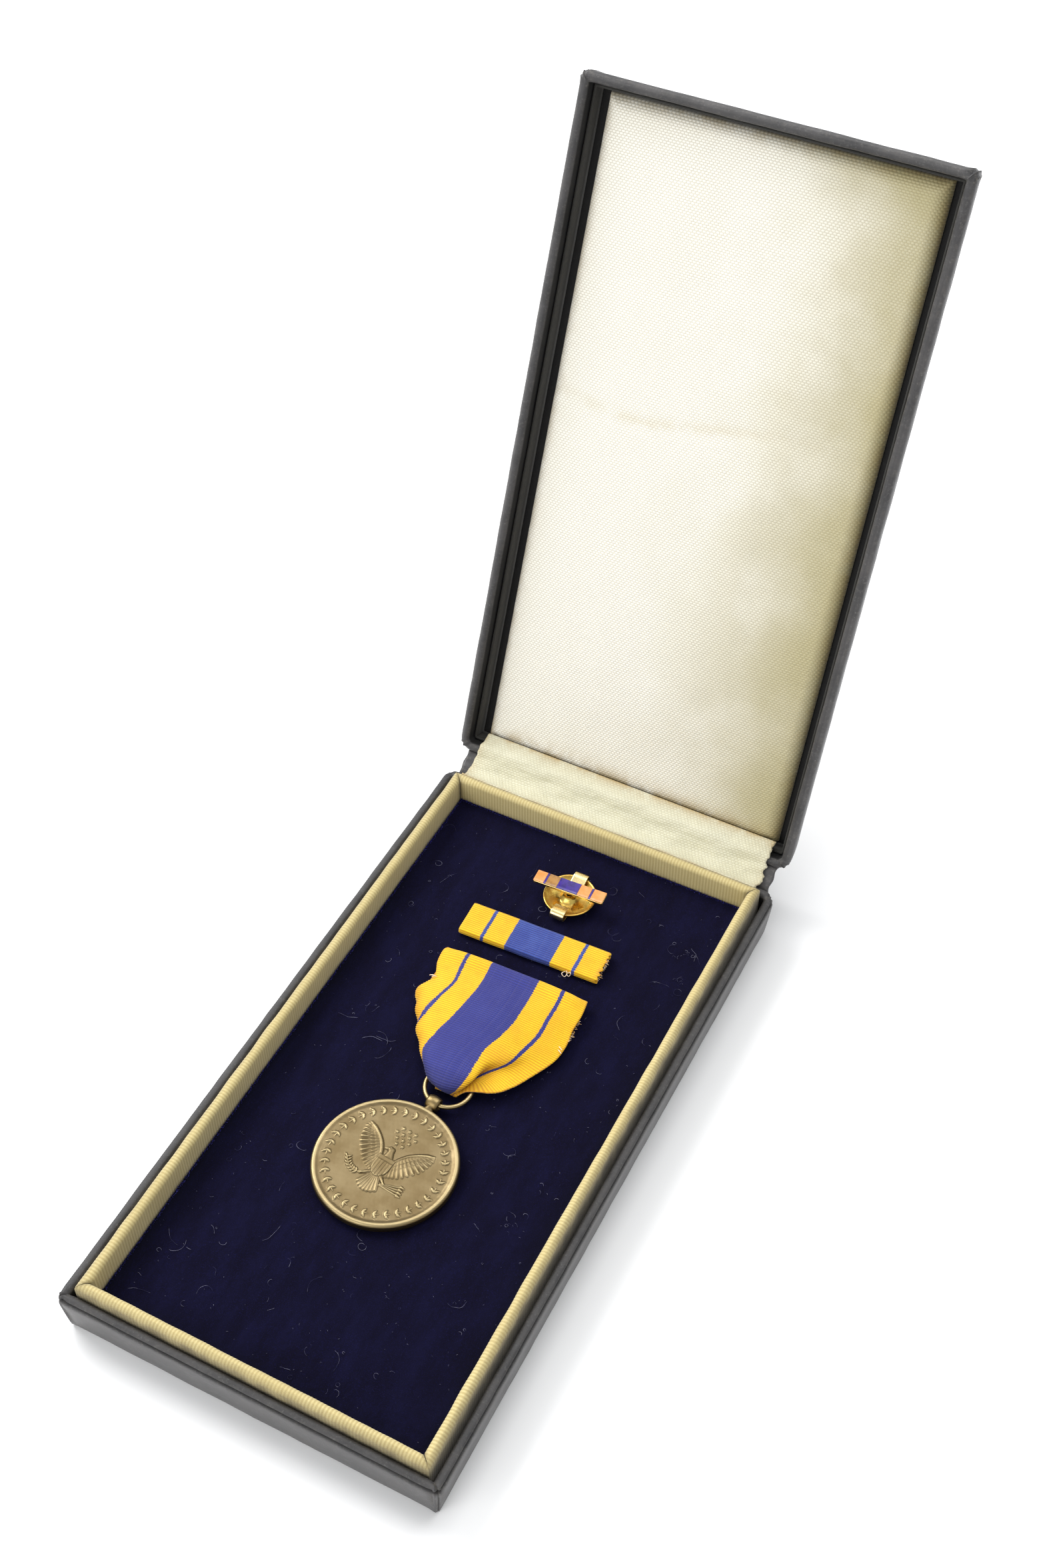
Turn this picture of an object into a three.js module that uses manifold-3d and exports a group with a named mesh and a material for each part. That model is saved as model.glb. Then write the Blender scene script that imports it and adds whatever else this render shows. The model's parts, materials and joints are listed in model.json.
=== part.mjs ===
// Cased service medal: a hinged presentation case holding a medal on a draped ribbon,
// a ribbon bar and an enamel lapel pin with its clutch back. Millimetres, +Z up.
// The origin is the centre of the case's underside; +Y points to the hinge.
import * as THREE from 'three';
import Module from 'manifold-3d';
import { mergeVertices } from 'three/addons/utils/BufferGeometryUtils.js';

const wasm = await Module();
wasm.setup();

// ---- driving dimensions -------------------------------------------------------------
const GAP = 0.3;                 // clearance between pieces that touch
const CASE_W = 88;               // outside width at the rim
const CASE_L = 163;              // outside length at the rim
const BASE_H = 12;               // underside to rim
const LID_DEPTH = 8.8;           // lid's rim to its outer face
const WALL = 2.3;                // thickness of walls
const WALL_TAPER = 1.1;          // how far the walls draw in at the underside and at the lid's face
const BOARD = 1.4;               // floor and lid panel
const CORNER_R = 2.0;
const OPEN_DEG = 112;            // the lid at rest, measured from closed
const PIVOT_OUT = 3.0;           // hinge axis behind the back walls
const PIVOT_DROP = 0.3;          // hinge axis below the rim

const COLLAR_T = 2.4;            // ribbed cloth over card
const COLLAR_TOP = 14.8;
const COLLAR_SLACK_X = 1.2;      // groove between collar and side walls
const COLLAR_SLACK_Y = 0.35;

const VELVET_TOP = 8.1;
const VELVET_T = 1.0;
const PAD_BOARD_T = 1.3;

const RIBBON_W = 34.9;           // standard ribbon, one and three eighths inches
const RIBBON_T = 0.5;
const DRAPE_TOP = [0.2, 32.9];   // middle of the drape's folded top edge
const DRAPE_TURN_DEG = 1.6;
const RING_DOWN = 33.2;          // drape top to ring centre
const RING_R = 5.15;
const RING_WIRE = 0.55;
const RING_Z = 9.9;
const MEDAL_R = 15.75;
const MEDAL_T = 2.5;
const LUG_R = 1.75;
const LUG_OUT = 17.85;           // medal centre to lug centre
const LUG_TURN_DEG = -9.8;       // from the ring's centre, off straight down
const MEDAL_TURN_DEG = -5.7;     // medal's own upright, off the case's length

const BAR_AT = [-0.77, 44.06];
const BAR_TURN_DEG = 2.3;
const BAR_DEPTH = 8.9;
const BAR_TOP = 10.1;

const CLUTCH_AT = [0.4, 59.8];
const CLUTCH_R = 6.3;
const CLUTCH_BASE = VELVET_TOP + 0.85;
const LAPEL_L = 17.6;
const LAPEL_W = 3.4;
const LAPEL_T = 1.0;
const LAPEL_TOP = 13.4;
const LAPEL_TURN_DEG = 3.2;

// ---- finishes -----------------------------------------------------------------------
const finish = (color, roughness, metalness = 0) =>
  new THREE.MeshStandardMaterial({ color, roughness, metalness });
const LEATHERETTE = finish(0x4a4a48, 0.62);
const CARD = finish(0xb5a98c, 0.9);
const RIBBED_CLOTH = finish(0xdbcd98, 0.85);
const VELVET = finish(0x1a182e, 1.0);
const SATIN = finish(0xe6dfc8, 0.55);
const PIPING = finish(0x7d7864, 0.6);
const RIBBON = finish(0xf3b81e, 0.8);
const BRONZE = finish(0xa59164, 0.42, 0.9);
const BRASS = finish(0xc9a24a, 0.3, 1.0);
const GILT = finish(0xe2c27a, 0.25, 1.0);
const ENAMEL_ORANGE = finish(0xf0a05f, 0.2);
const ENAMEL_BLUE = finish(0x462d96, 0.2);

// ---- geometry helpers ---------------------------------------------------------------
const rad = THREE.MathUtils.degToRad;

// Indexed triangles from a list of points and faces.
function meshFrom(points, faces) {
  const geometry = new THREE.BufferGeometry();
  geometry.setAttribute('position', new THREE.Float32BufferAttribute(points.flat(), 3));
  geometry.setIndex(faces.flat());
  geometry.computeVertexNormals();
  return geometry;
}

// Corner points of a rounded rectangle, counter-clockwise.
function roundedLoop(halfX, halfY, radius, steps = 4) {
  const r = Math.max(radius, 0.15);
  const centres = [[1, 1, 0], [-1, 1, 90], [-1, -1, 180], [1, -1, 270]];
  return centres.flatMap(([sx, sy, start]) =>
    Array.from({ length: steps + 1 }, (_, i) => {
      const a = rad(start + (90 * i) / steps);
      return [sx * (halfX - r) + r * Math.cos(a), sy * (halfY - r) + r * Math.sin(a)];
    }));
}

// A rectangular frame: a closed section of [inset, z] points carried round the case's outline.
function frameRing(section, halfX, halfY, radius) {
  const loops = section.map(([inset, z]) =>
    roundedLoop(halfX - inset, halfY - inset, radius - inset).map(([x, y]) => [x, y, z]));
  const n = loops[0].length;
  const faces = [];
  loops.forEach((_, k) => {
    const next = (k + 1) % loops.length;
    for (let i = 0; i < n; i++) {
      const j = (i + 1) % n;
      faces.push([k * n + i, k * n + j, next * n + j], [k * n + i, next * n + j, next * n + i]);
    }
  });
  return meshFrom(loops.flat(), faces);
}

// A straight bar with 45 degree mitres: section of [inset, z] points, inset measured
// inward from the outer face, which lies at y = 0; the bar runs along X.
function mitredBar(section, halfLength) {
  const n = section.length;
  const points = [-1, 1].flatMap((side) =>
    section.map(([inset, z]) => [side * (halfLength - inset), inset, z]));
  const faces = [];
  for (let i = 0; i < n; i++) {
    const j = (i + 1) % n;
    faces.push([i, j, n + j], [i, n + j, n + i]);
  }
  const outline = section.map(([y, z]) => new THREE.Vector2(y, z));
  const caps = THREE.ShapeUtils.triangulateShape(outline, []);
  for (const [a, b, c] of caps) {
    faces.push([a, c, b], [n + a, n + b, n + c]);
  }
  return meshFrom(points, faces);
}

// A flat plate with rounded corners and optional rectangular slots, from z = 0 up.
function plate(width, depth, thickness, radius, slots = []) {
  const outline = roundedLoop(width / 2, depth / 2, radius);
  const shape = new THREE.Shape(outline.map(([x, y]) => new THREE.Vector2(x, y)));
  const centre = new THREE.Vector2();
  for (const { at, size, turn } of slots) {
    const corners = roundedLoop(size[0] / 2, size[1] / 2, 0.8, 2).map(([x, y]) =>
      new THREE.Vector2(x, y).rotateAround(centre, rad(turn)).add(new THREE.Vector2(...at)));
    shape.holes.push(new THREE.Path(corners));
  }
  return new THREE.ExtrudeGeometry(shape, { depth: thickness, bevelEnabled: false });
}

// A profile of [y, z] points extruded along X and centred on it.
function profileAlongX(outline, length) {
  const shape = new THREE.Shape(outline.map(([y, z]) => new THREE.Vector2(y, z)));
  const geometry = new THREE.ExtrudeGeometry(shape, { depth: length, bevelEnabled: false });
  geometry.applyMatrix4(new THREE.Matrix4().set(
    0, 0, 1, -length / 2,
    1, 0, 0, 0,
    0, 1, 0, 0,
    0, 0, 0, 1));
  return geometry;
}

// A strip of even thickness bent along an open centre line of [y, z] points.
function bentStrip(line, thickness, width) {
  const side = (sign) => line.map(([y, z], i) => {
    const [a, b] = [line[Math.max(i - 1, 0)], line[Math.min(i + 1, line.length - 1)]];
    const d = new THREE.Vector2(b[0] - a[0], b[1] - a[1]).normalize();
    return [y - (sign * d.y * thickness) / 2, z + (sign * d.x * thickness) / 2];
  });
  return profileAlongX([...side(-1), ...side(1).reverse()], width);
}

// Points on an arc about [cy, cz] in the side plane.
function arcPoints(cy, cz, radius, fromDeg, toDeg, steps) {
  return Array.from({ length: steps + 1 }, (_, i) => {
    const a = rad(fromDeg + ((toDeg - fromDeg) * i) / steps);
    return [cy + radius * Math.cos(a), cz + radius * Math.sin(a)];
  });
}

function toManifold(geometry) {
  const bare = geometry.clone();
  bare.deleteAttribute('normal');
  bare.deleteAttribute('uv');
  const merged = mergeVertices(bare, 1e-4);
  return new wasm.Manifold(new wasm.Mesh({
    numProp: 3,
    vertProperties: Float32Array.from(merged.attributes.position.array),
    triVerts: Uint32Array.from(merged.index.array),
  }));
}

function fromManifold(solid) {
  const { vertProperties, triVerts } = solid.getMesh();
  const geometry = new THREE.BufferGeometry();
  geometry.setAttribute('position', new THREE.BufferAttribute(vertProperties, 3));
  geometry.setIndex(new THREE.BufferAttribute(triVerts, 1));
  geometry.computeVertexNormals();
  return geometry;
}

const cut = (body, tool) => fromManifold(toManifold(body).subtract(toManifold(tool)));
const join = (a, b) => fromManifold(toManifold(a).add(toManifold(b)));

// Cylinder centred on the origin along the axis 'x', 'y' or 'z'.
function rod(radius, length, along, segments = 16) {
  const geometry = new THREE.CylinderGeometry(radius, radius, length, segments);
  if (along === 'x') geometry.rotateZ(Math.PI / 2);
  if (along === 'z') geometry.rotateX(Math.PI / 2);
  return geometry;
}

function node(name, geometry, material, parent, x = 0, y = 0, z = 0) {
  const mesh = new THREE.Mesh(geometry, material);
  mesh.name = name;
  mesh.position.set(x, y, z);
  parent.add(mesh);
  return mesh;
}

// ---- case base ----------------------------------------------------------------------
const INNER_X = CASE_W / 2 - WALL;
const INNER_Y = CASE_L / 2 - WALL;
const COLLAR_X = INNER_X - COLLAR_SLACK_X;
const COLLAR_Y = INNER_Y - COLLAR_SLACK_Y;

function buildBase(parent) {
  // outer wall drawing in at the foot, soft shoulders on the rim, straight inner face
  const wallSection = [
    [WALL_TAPER, 0], [WALL_TAPER * 0.45, BASE_H * 0.45], [0, BASE_H - 0.8], [0.25, BASE_H - 0.2],
    [0.8, BASE_H], [WALL - 0.7, BASE_H], [WALL - 0.15, BASE_H - 0.25], [WALL, BASE_H - 0.8], [WALL, 0],
  ];
  node('base_walls', frameRing(wallSection, CASE_W / 2, CASE_L / 2, CORNER_R), LEATHERETTE, parent);
  node('base_floor', plate(2 * (INNER_X - GAP), 2 * (INNER_Y - GAP), BOARD, 0.8), LEATHERETTE, parent);
}

function buildCollar(parent) {
  const foot = BOARD + GAP;
  const crown = COLLAR_T / 2;
  const top = arcPoints(crown, COLLAR_TOP - crown, crown, 0, 180, 6);
  const section = [[0, foot], [COLLAR_T, foot], ...top];
  const strips = [
    ['collar_front', COLLAR_X, 0, -COLLAR_Y, 0],
    ['collar_right', COLLAR_Y, COLLAR_X, 0, 90],
    ['collar_back', COLLAR_X, 0, COLLAR_Y, 180],
    ['collar_left', COLLAR_Y, -COLLAR_X, 0, 270],
  ];
  for (const [name, half, x, y, turn] of strips) {
    const strip = node(name, mitredBar(section, half - GAP), RIBBED_CLOTH, parent, x, y, 0);
    strip.rotation.z = rad(turn);
  }
}

// Slots let the brooch pins of the medal and of the ribbon bar through the pad.
const drapeTurn = rad(DRAPE_TURN_DEG);
const drapePoint = (x, y) => [
  DRAPE_TOP[0] + x * Math.cos(drapeTurn) - y * Math.sin(drapeTurn),
  DRAPE_TOP[1] + x * Math.sin(drapeTurn) + y * Math.cos(drapeTurn),
];
const BROOCH_DOWN = 3.2;         // drape top to the middle of the brooch
const PIN_SLOTS = [
  { at: drapePoint(0, -BROOCH_DOWN), size: [32.8, 4.8], turn: DRAPE_TURN_DEG },
  { at: BAR_AT, size: [30.5, 4.8], turn: BAR_TURN_DEG },
];

function buildPad(parent) {
  const width = 2 * (COLLAR_X - COLLAR_T - GAP);
  const length = 2 * (COLLAR_Y - COLLAR_T - GAP);
  const velvetBase = VELVET_TOP - VELVET_T;
  const boardBase = velvetBase - GAP - PAD_BOARD_T;
  node('velvet_pad', plate(width, length, VELVET_T, 0.5, PIN_SLOTS), VELVET, parent, 0, 0, velvetBase);
  node('pad_board', plate(width, length, PAD_BOARD_T, 0.5, PIN_SLOTS), CARD, parent, 0, 0, boardBase);
  const riserTop = boardBase - GAP;
  const riserBase = BOARD + GAP;
  for (const [side, x] of [['left', -1], ['right', 1]]) {
    const riser = plate(5, length - 8, riserTop - riserBase, 0.5);
    node(`pad_riser_${side}`, riser, CARD, parent, x * (width / 2 - 6), 0, riserBase);
  }
}

// ---- lid ----------------------------------------------------------------------------
const PIVOT_Y = CASE_L / 2 + PIVOT_OUT;
const PIVOT_Z = BASE_H - PIVOT_DROP;
const LID_PAD_RECESS = 3.6;      // satin's face behind the lid's rim
const TRIM_RECESS = 3.0;         // trim's edge behind the lid's rim, clear of the collars' tops
const TRIM_T = 0.6;

function buildLid(parent) {
  // built closed, with z = 0 at the lid's rim, then swung open about the hinge
  const swing = new THREE.Group();
  swing.position.set(0, PIVOT_Y, PIVOT_Z);
  swing.rotation.x = -rad(OPEN_DEG);
  parent.add(swing);
  const closed = new THREE.Group();
  closed.position.set(0, -PIVOT_Y, BASE_H + GAP - PIVOT_Z);
  swing.add(closed);

  const wallSection = [
    [WALL, LID_DEPTH - 0.02], [WALL, 0.8], [WALL - 0.15, 0.25], [WALL - 0.7, 0],
    [0.8, 0], [0.25, 0.2], [0, 0.8], [WALL_TAPER * 0.5, LID_DEPTH - 2.4],
    [WALL_TAPER, LID_DEPTH - 0.8], [WALL_TAPER + 0.6, LID_DEPTH - 0.02],
  ];
  node('lid_walls', frameRing(wallSection, CASE_W / 2, CASE_L / 2, CORNER_R), LEATHERETTE, closed);
  const panelBase = LID_DEPTH - BOARD;
  const panel = plate(2 * (INNER_X - GAP), 2 * (INNER_Y - GAP), BOARD, 0.8);
  node('lid_panel', panel, LEATHERETTE, closed, 0, 0, panelBase);
  const trimTop = panelBase - GAP;
  const trimSection = [
    [0, trimTop], [TRIM_T, trimTop], [TRIM_T, TRIM_RECESS + 0.2], [TRIM_T / 2, TRIM_RECESS],
    [0, TRIM_RECESS + 0.2],
  ];
  node('lid_trim', frameRing(trimSection, INNER_X - GAP, INNER_Y - GAP, 0.8), PIPING, closed);
  const padX = INNER_X - 2 * GAP - TRIM_T;
  const padY = INNER_Y - 2 * GAP - TRIM_T;
  const padDepth = trimTop - LID_PAD_RECESS;
  node('lid_pad', plate(2 * padX, 2 * padY, padDepth, 1.2), SATIN, closed, 0, 0, LID_PAD_RECESS);
}

// Cloth strips that join the lid to the base, kept inside the circle that the lid clears.
function buildHinge(parent) {
  const length = CASE_W - 2 * CORNER_R - 1;
  const satin = bentStrip(arcPoints(0, 0, 2.5, 160, 62, 10), 0.35, length);
  node('hinge_satin', satin, SATIN, parent, 0, PIVOT_Y, PIVOT_Z);
  const spine = bentStrip(arcPoints(0, 0, 2.4, 196, 378, 16), 0.5, length);
  node('hinge_spine', spine, LEATHERETTE, parent, 0, PIVOT_Y, PIVOT_Z);
}

// ---- brooch pins --------------------------------------------------------------------
const PIN_WIRE = 0.4;
const EYE_R = 1.0;
const EYE_BORE = 0.62;
const RIVET_R = 0.32;
const CHEEK_T = 0.5;
const EYE_L = 1.4;
const PIN_DROP = 2.1;            // plate's underside to the pin's axis

// A hinged pin under a plate: yoke, rivet, pin and a forked catch. The plate's underside
// is z = 0 and the pin runs along X from the yoke at -reach to the catch at +reach.
function buildPin(prefix, reach, metal, parent) {
  const cheekY = EYE_L / 2 + GAP / 2 + CHEEK_T / 2;
  let yoke = new THREE.BoxGeometry(2.6, 2 * cheekY + CHEEK_T, 0.4).translate(0, 0, -GAP - 0.2);
  for (const side of [-1, 1]) {
    const cheek = new THREE.BoxGeometry(2.2, CHEEK_T, 2.7).translate(0, side * cheekY, -GAP - 1.35);
    yoke = join(yoke, cheek);
  }
  yoke = cut(yoke, rod(EYE_BORE, 4, 'y', 16).translate(0, 0, -PIN_DROP));
  node(`${prefix}_pin_yoke`, yoke, metal, parent, -reach, 0, 0);
  const rivet = rod(RIVET_R, 2 * cheekY + CHEEK_T + 0.4, 'y', 12);
  node(`${prefix}_pin_rivet`, rivet, metal, parent, -reach, 0, -PIN_DROP);

  const eye = rod(EYE_R, EYE_L, 'y', 20);
  const wireLength = 2 * reach + 1.2 - EYE_R * 0.8;
  const wire = rod(PIN_WIRE, wireLength, 'x', 10).translate(EYE_R * 0.8 + wireLength / 2, 0, 0);
  const point = new THREE.ConeGeometry(PIN_WIRE, 1.6, 10).rotateZ(-Math.PI / 2);
  point.translate(EYE_R * 0.8 + wireLength + 0.75, 0, 0);
  const pin = cut(join(join(eye, wire), point), rod(EYE_BORE, 4, 'y', 16));
  node(`${prefix}_pin`, pin, metal, parent, -reach, 0, -PIN_DROP);

  const tineY = PIN_WIRE + GAP + 0.2;
  let fork = new THREE.BoxGeometry(1.6, 2 * tineY + 0.4, 0.4).translate(0, 0, -GAP - 0.2);
  for (const side of [-1, 1]) {
    fork = join(fork, new THREE.BoxGeometry(1.6, 0.4, 2.2).translate(0, side * tineY, -GAP - 1.1));
  }
  node(`${prefix}_pin_catch`, fork, metal, parent, reach, 0, 0);
}

// ---- medal --------------------------------------------------------------------------
const MEDAL_BASE = VELVET_TOP + GAP;
const BROOCH_REACH = 13.5;

// The ribbon is one band: down the front, through the ring, up the back and over the bar.
// Stations run up from the tongue: distance from the drape's top, half width, and the
// height of the front layer, which arches over the ring to leave it room to swing.
const BAND = [
  [-RING_DOWN - 1.6, 3.0, 12.2], [-RING_DOWN + 1.5, 3.3, 12.7], [-26.4, 3.3, 12.7],
  [-23, 9.5, 12.4], [-18, 15.2, 11.7], [-13, RIBBON_W / 2, 11.3], [0, RIBBON_W / 2, 11.3],
];

function ribbonBand() {
  const last = BAND.length - 1;
  // one cross-section per station and layer: outer left, outer right, inner right, inner left
  const crossSection = (i, layer) => {
    const [y, half, frontTop] = BAND[i];
    const end = (i === 0 ? RIBBON_T : 0) - (i === last ? RIBBON_T : 0);
    const [outerZ, innerZ] = layer === 'front'
      ? [frontTop, frontTop - RIBBON_T] : [MEDAL_BASE, MEDAL_BASE + RIBBON_T];
    const inner = y + end;
    return [[-half, y, outerZ], [half, y, outerZ], [half, inner, innerZ], [-half, inner, innerZ]];
  };
  const indices = BAND.map((_, i) => i);
  const sections = [
    ...[...indices].reverse().map((i) => crossSection(i, 'front')),
    ...indices.map((i) => crossSection(i, 'back')),
  ];
  const faces = [];
  sections.forEach((_, i) => {
    const j = (i + 1) % sections.length;
    for (let k = 0; k < 4; k++) {
      const m = (k + 1) % 4;
      faces.push([4 * i + k, 4 * j + k, 4 * j + m], [4 * i + k, 4 * j + m, 4 * i + m]);
    }
  });
  return meshFrom(sections.flat(), faces);
}

function medalProfile() {
  const half = MEDAL_T / 2;
  const field = half - 0.35;
  const side = [[MEDAL_R - 2.1, field], [MEDAL_R - 1.3, half - 0.05], [MEDAL_R - 0.8, half],
    [MEDAL_R - 0.2, half - 0.2], [MEDAL_R, half - 0.6]];
  const points = [[0, -field], ...side.map(([r, z]) => [r, -z]), ...[...side].reverse(), [0, field]];
  return points.map(([r, z]) => new THREE.Vector2(r, z));
}

function buildMedal(parent) {
  const drape = new THREE.Group();
  drape.position.set(...DRAPE_TOP, 0);
  drape.rotation.z = drapeTurn;
  parent.add(drape);
  node('medal_ribbon', ribbonBand(), RIBBON, drape);

  const barZ = MEDAL_BASE + RIBBON_T + GAP;
  node('brooch_bar', plate(33.6, 4.4, 0.9, 0.6), BRONZE, drape, 0, -BROOCH_DOWN, barZ);
  const backTop = MEDAL_BASE - GAP;
  const backPlate = plate(31.6, 3.8, 0.5, 0.6);
  node('brooch_back_plate', backPlate, BRONZE, drape, 0, -BROOCH_DOWN, backTop - 0.5);
  const pins = new THREE.Group();
  pins.position.set(0, -BROOCH_DOWN, backTop - 0.5);
  drape.add(pins);
  buildPin('brooch', BROOCH_REACH, BRONZE, pins);

  const ring = new THREE.TorusGeometry(RING_R, RING_WIRE, 10, 48);
  node('suspension_ring', ring, BRONZE, drape, 0, -RING_DOWN, RING_Z);

  // the lug hangs on the ring, and the medal hangs from the lug
  const [ringX, ringY] = drapePoint(0, -RING_DOWN);
  const lugTurn = rad(LUG_TURN_DEG);
  const lugX = ringX + RING_R * Math.sin(lugTurn);
  const lugY = ringY - RING_R * Math.cos(lugTurn);
  const hanging = new THREE.Group();
  hanging.position.set(lugX, lugY, 0);
  hanging.rotation.z = rad(MEDAL_TURN_DEG);
  parent.add(hanging);
  const medal = new THREE.LatheGeometry(medalProfile(), 72).rotateX(Math.PI / 2);
  node('medal_disc', medal, BRONZE, hanging, 0, -LUG_OUT, MEDAL_BASE + MEDAL_T / 2);

  const ball = new THREE.SphereGeometry(LUG_R, 28, 18);
  const neckBase = LUG_OUT - MEDAL_R - GAP;
  const neckDrop = RING_Z - MEDAL_BASE - MEDAL_T / 2;
  const neck = rod(0.9, neckBase, 'y', 16).translate(0, -neckBase / 2, -neckDrop);
  const lug = cut(join(ball, neck), rod(1.0, 6, 'x', 20));
  node('medal_lug', lug, BRONZE, hanging, 0, 0, RING_Z);
}

// ---- ribbon bar ---------------------------------------------------------------------
function buildRibbonBar(parent) {
  const bar = new THREE.Group();
  bar.position.set(...BAR_AT, 0);
  bar.rotation.z = rad(BAR_TURN_DEG);
  parent.add(bar);
  const half = BAR_DEPTH / 2;
  const foot = VELVET_TOP + GAP;
  const lip = 1.1;                // ribbon turned under the plate's long edges
  const wrap = [
    [-half + lip, foot], [-half + lip, foot + 0.3], [-half + RIBBON_T, foot + 0.3],
    [-half + RIBBON_T, BAR_TOP - RIBBON_T], [half - RIBBON_T, BAR_TOP - RIBBON_T],
    [half - RIBBON_T, foot + 0.3], [half - lip, foot + 0.3], [half - lip, foot],
    [half - 0.1, foot], [half, foot + 0.2], [half, BAR_TOP - 0.3], [half - 0.3, BAR_TOP],
    [-half + 0.3, BAR_TOP], [-half, BAR_TOP - 0.3], [-half, foot + 0.2], [-half + 0.1, foot],
  ];
  node('ribbon_bar_ribbon', profileAlongX(wrap, RIBBON_W), RIBBON, bar);
  const plateTop = BAR_TOP - RIBBON_T - 0.15;
  const plateBase = foot + 0.3 + 0.1;
  const backing = plate(RIBBON_W - 0.8, BAR_DEPTH - 2 * RIBBON_T - 0.4, plateTop - plateBase, 0.3);
  node('ribbon_bar_plate', backing, BRASS, bar, 0, 0, plateBase);
  const pins = new THREE.Group();
  pins.position.set(0, 0, plateBase);
  bar.add(pins);
  buildPin('ribbon_bar', 12.5, BRASS, pins);
}

// ---- lapel pin and clutch -----------------------------------------------------------
const POST_R = 0.5;

function buildClutch(parent) {
  const clutch = new THREE.Group();
  clutch.position.set(...CLUTCH_AT, 0);
  parent.add(clutch);
  // dished shell with a rolled rim and a domed boss pierced for the post
  const sheet = 0.4;
  const b = CLUTCH_BASE;
  const dish = [
    [0.85, b + 1.2], [1.5, b + 1.0], [2.3, b + 0.2], [3.4, b], [5.2, b + 0.1], [CLUTCH_R - 0.3, b + 0.75],
    [CLUTCH_R, b + 1.1], [CLUTCH_R - 0.1, b + 1.45], [CLUTCH_R - 0.45, b + 1.45],
    [CLUTCH_R - 0.7, b + 1.15], [5.1, b + 0.1 + sheet], [3.4, b + sheet], [2.5, b + 0.2 + sheet],
    [1.7, b + 1.0 + sheet], [0.85, b + 1.3 + sheet],
  ];
  const closedLoop = [...dish, dish[0]].map(([r, z]) => new THREE.Vector2(r, z));
  node('clutch_disc', new THREE.LatheGeometry(closedLoop, 40).rotateX(Math.PI / 2), BRASS, clutch);

  // spring wings: each runs out under the dish and folds up over its rim
  const low = VELVET_TOP + GAP;
  const fold = [
    [1.1, low + 0.15], [6.2, low + 0.15], [6.95, low + 0.45], [7.15, low + 1.2],
    [7.05, low + 2.1], [6.6, low + 2.5], [5.2, low + 2.55],
  ];
  for (const [side, turn] of [['back', 0], ['front', 180]]) {
    const wing = node(`clutch_wing_${side}`, bentStrip(fold, 0.3, 3.6), BRASS, clutch);
    wing.rotation.z = rad(turn);
  }
}

function buildLapelPin(parent) {
  const pin = new THREE.Group();
  pin.position.set(...CLUTCH_AT, 0);
  pin.rotation.z = rad(LAPEL_TURN_DEG);
  parent.add(pin);
  const base = LAPEL_TOP - LAPEL_T;
  // gilt tray whose cells hold the enamel
  const cellDepth = 0.45;
  const wallX = 0.3;
  const halfL = LAPEL_L / 2;
  // cell edges as fractions of the bar's length
  const edges = [0, 0.145, 0.175, 0.335, 0.635, 0.795, 0.825, 1];
  const cellX = (f) => -halfL + wallX + f * (LAPEL_L - 2 * wallX);
  const cells = edges.slice(0, -1).map((f, i) => {
    const [x0, x1] = [cellX(f) + 0.05, cellX(edges[i + 1]) - 0.05];
    return { middle: (x0 + x1) / 2, width: x1 - x0 };
  });
  const cellW = LAPEL_W - 0.6;
  const recess = new THREE.BoxGeometry(LAPEL_L - 2 * wallX, cellW, 2);
  recess.translate(0, 0, LAPEL_T - cellDepth + 1);
  node('lapel_bar', cut(plate(LAPEL_L, LAPEL_W, LAPEL_T, 0.3), recess), GILT, pin, 0, 0, base);
  const names = [
    'outer_left', 'stripe_left', 'inner_left', 'centre', 'inner_right', 'stripe_right', 'outer_right',
  ];
  const chipBase = LAPEL_TOP - cellDepth + 0.08;
  cells.forEach(({ middle, width }, i) => {
    // the cells alternate, orange first
    const colour = i % 2 === 0 ? ENAMEL_ORANGE : ENAMEL_BLUE;
    const chip = plate(width - 0.04, cellW - 0.3, 0.35, 0.1);
    node(`enamel_${names[i]}`, chip, colour, pin, middle, 0, chipBase);
  });
  const postTop = base - 0.02;
  const postFoot = VELVET_TOP + GAP;
  const postLength = postTop - postFoot;
  node('lapel_post', rod(POST_R, postLength, 'z', 16), GILT, pin, 0, 0, postFoot + postLength / 2);
}

const group = new THREE.Group();
buildBase(group);
buildCollar(group);
buildPad(group);
buildLid(group);
buildHinge(group);
buildMedal(group);
buildRibbonBar(group);
buildClutch(group);
buildLapelPin(group);

export default group;
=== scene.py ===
"""A service medal in its hinged presentation case, with a ribbon bar and an enamel lapel pin.

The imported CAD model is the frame. This script adds the surfaces: leatherette over board,
ribbed cloth collars, velvet, a satin lid pad, grosgrain ribbon, struck bronze and enamel.
Lengths in the code are millimetres unless a name says otherwise; MM turns them into metres.
"""
import json
import math

import bmesh
import bpy
import numpy as np
from mathutils import Matrix, Vector
from mathutils.kdtree import KDTree


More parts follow.
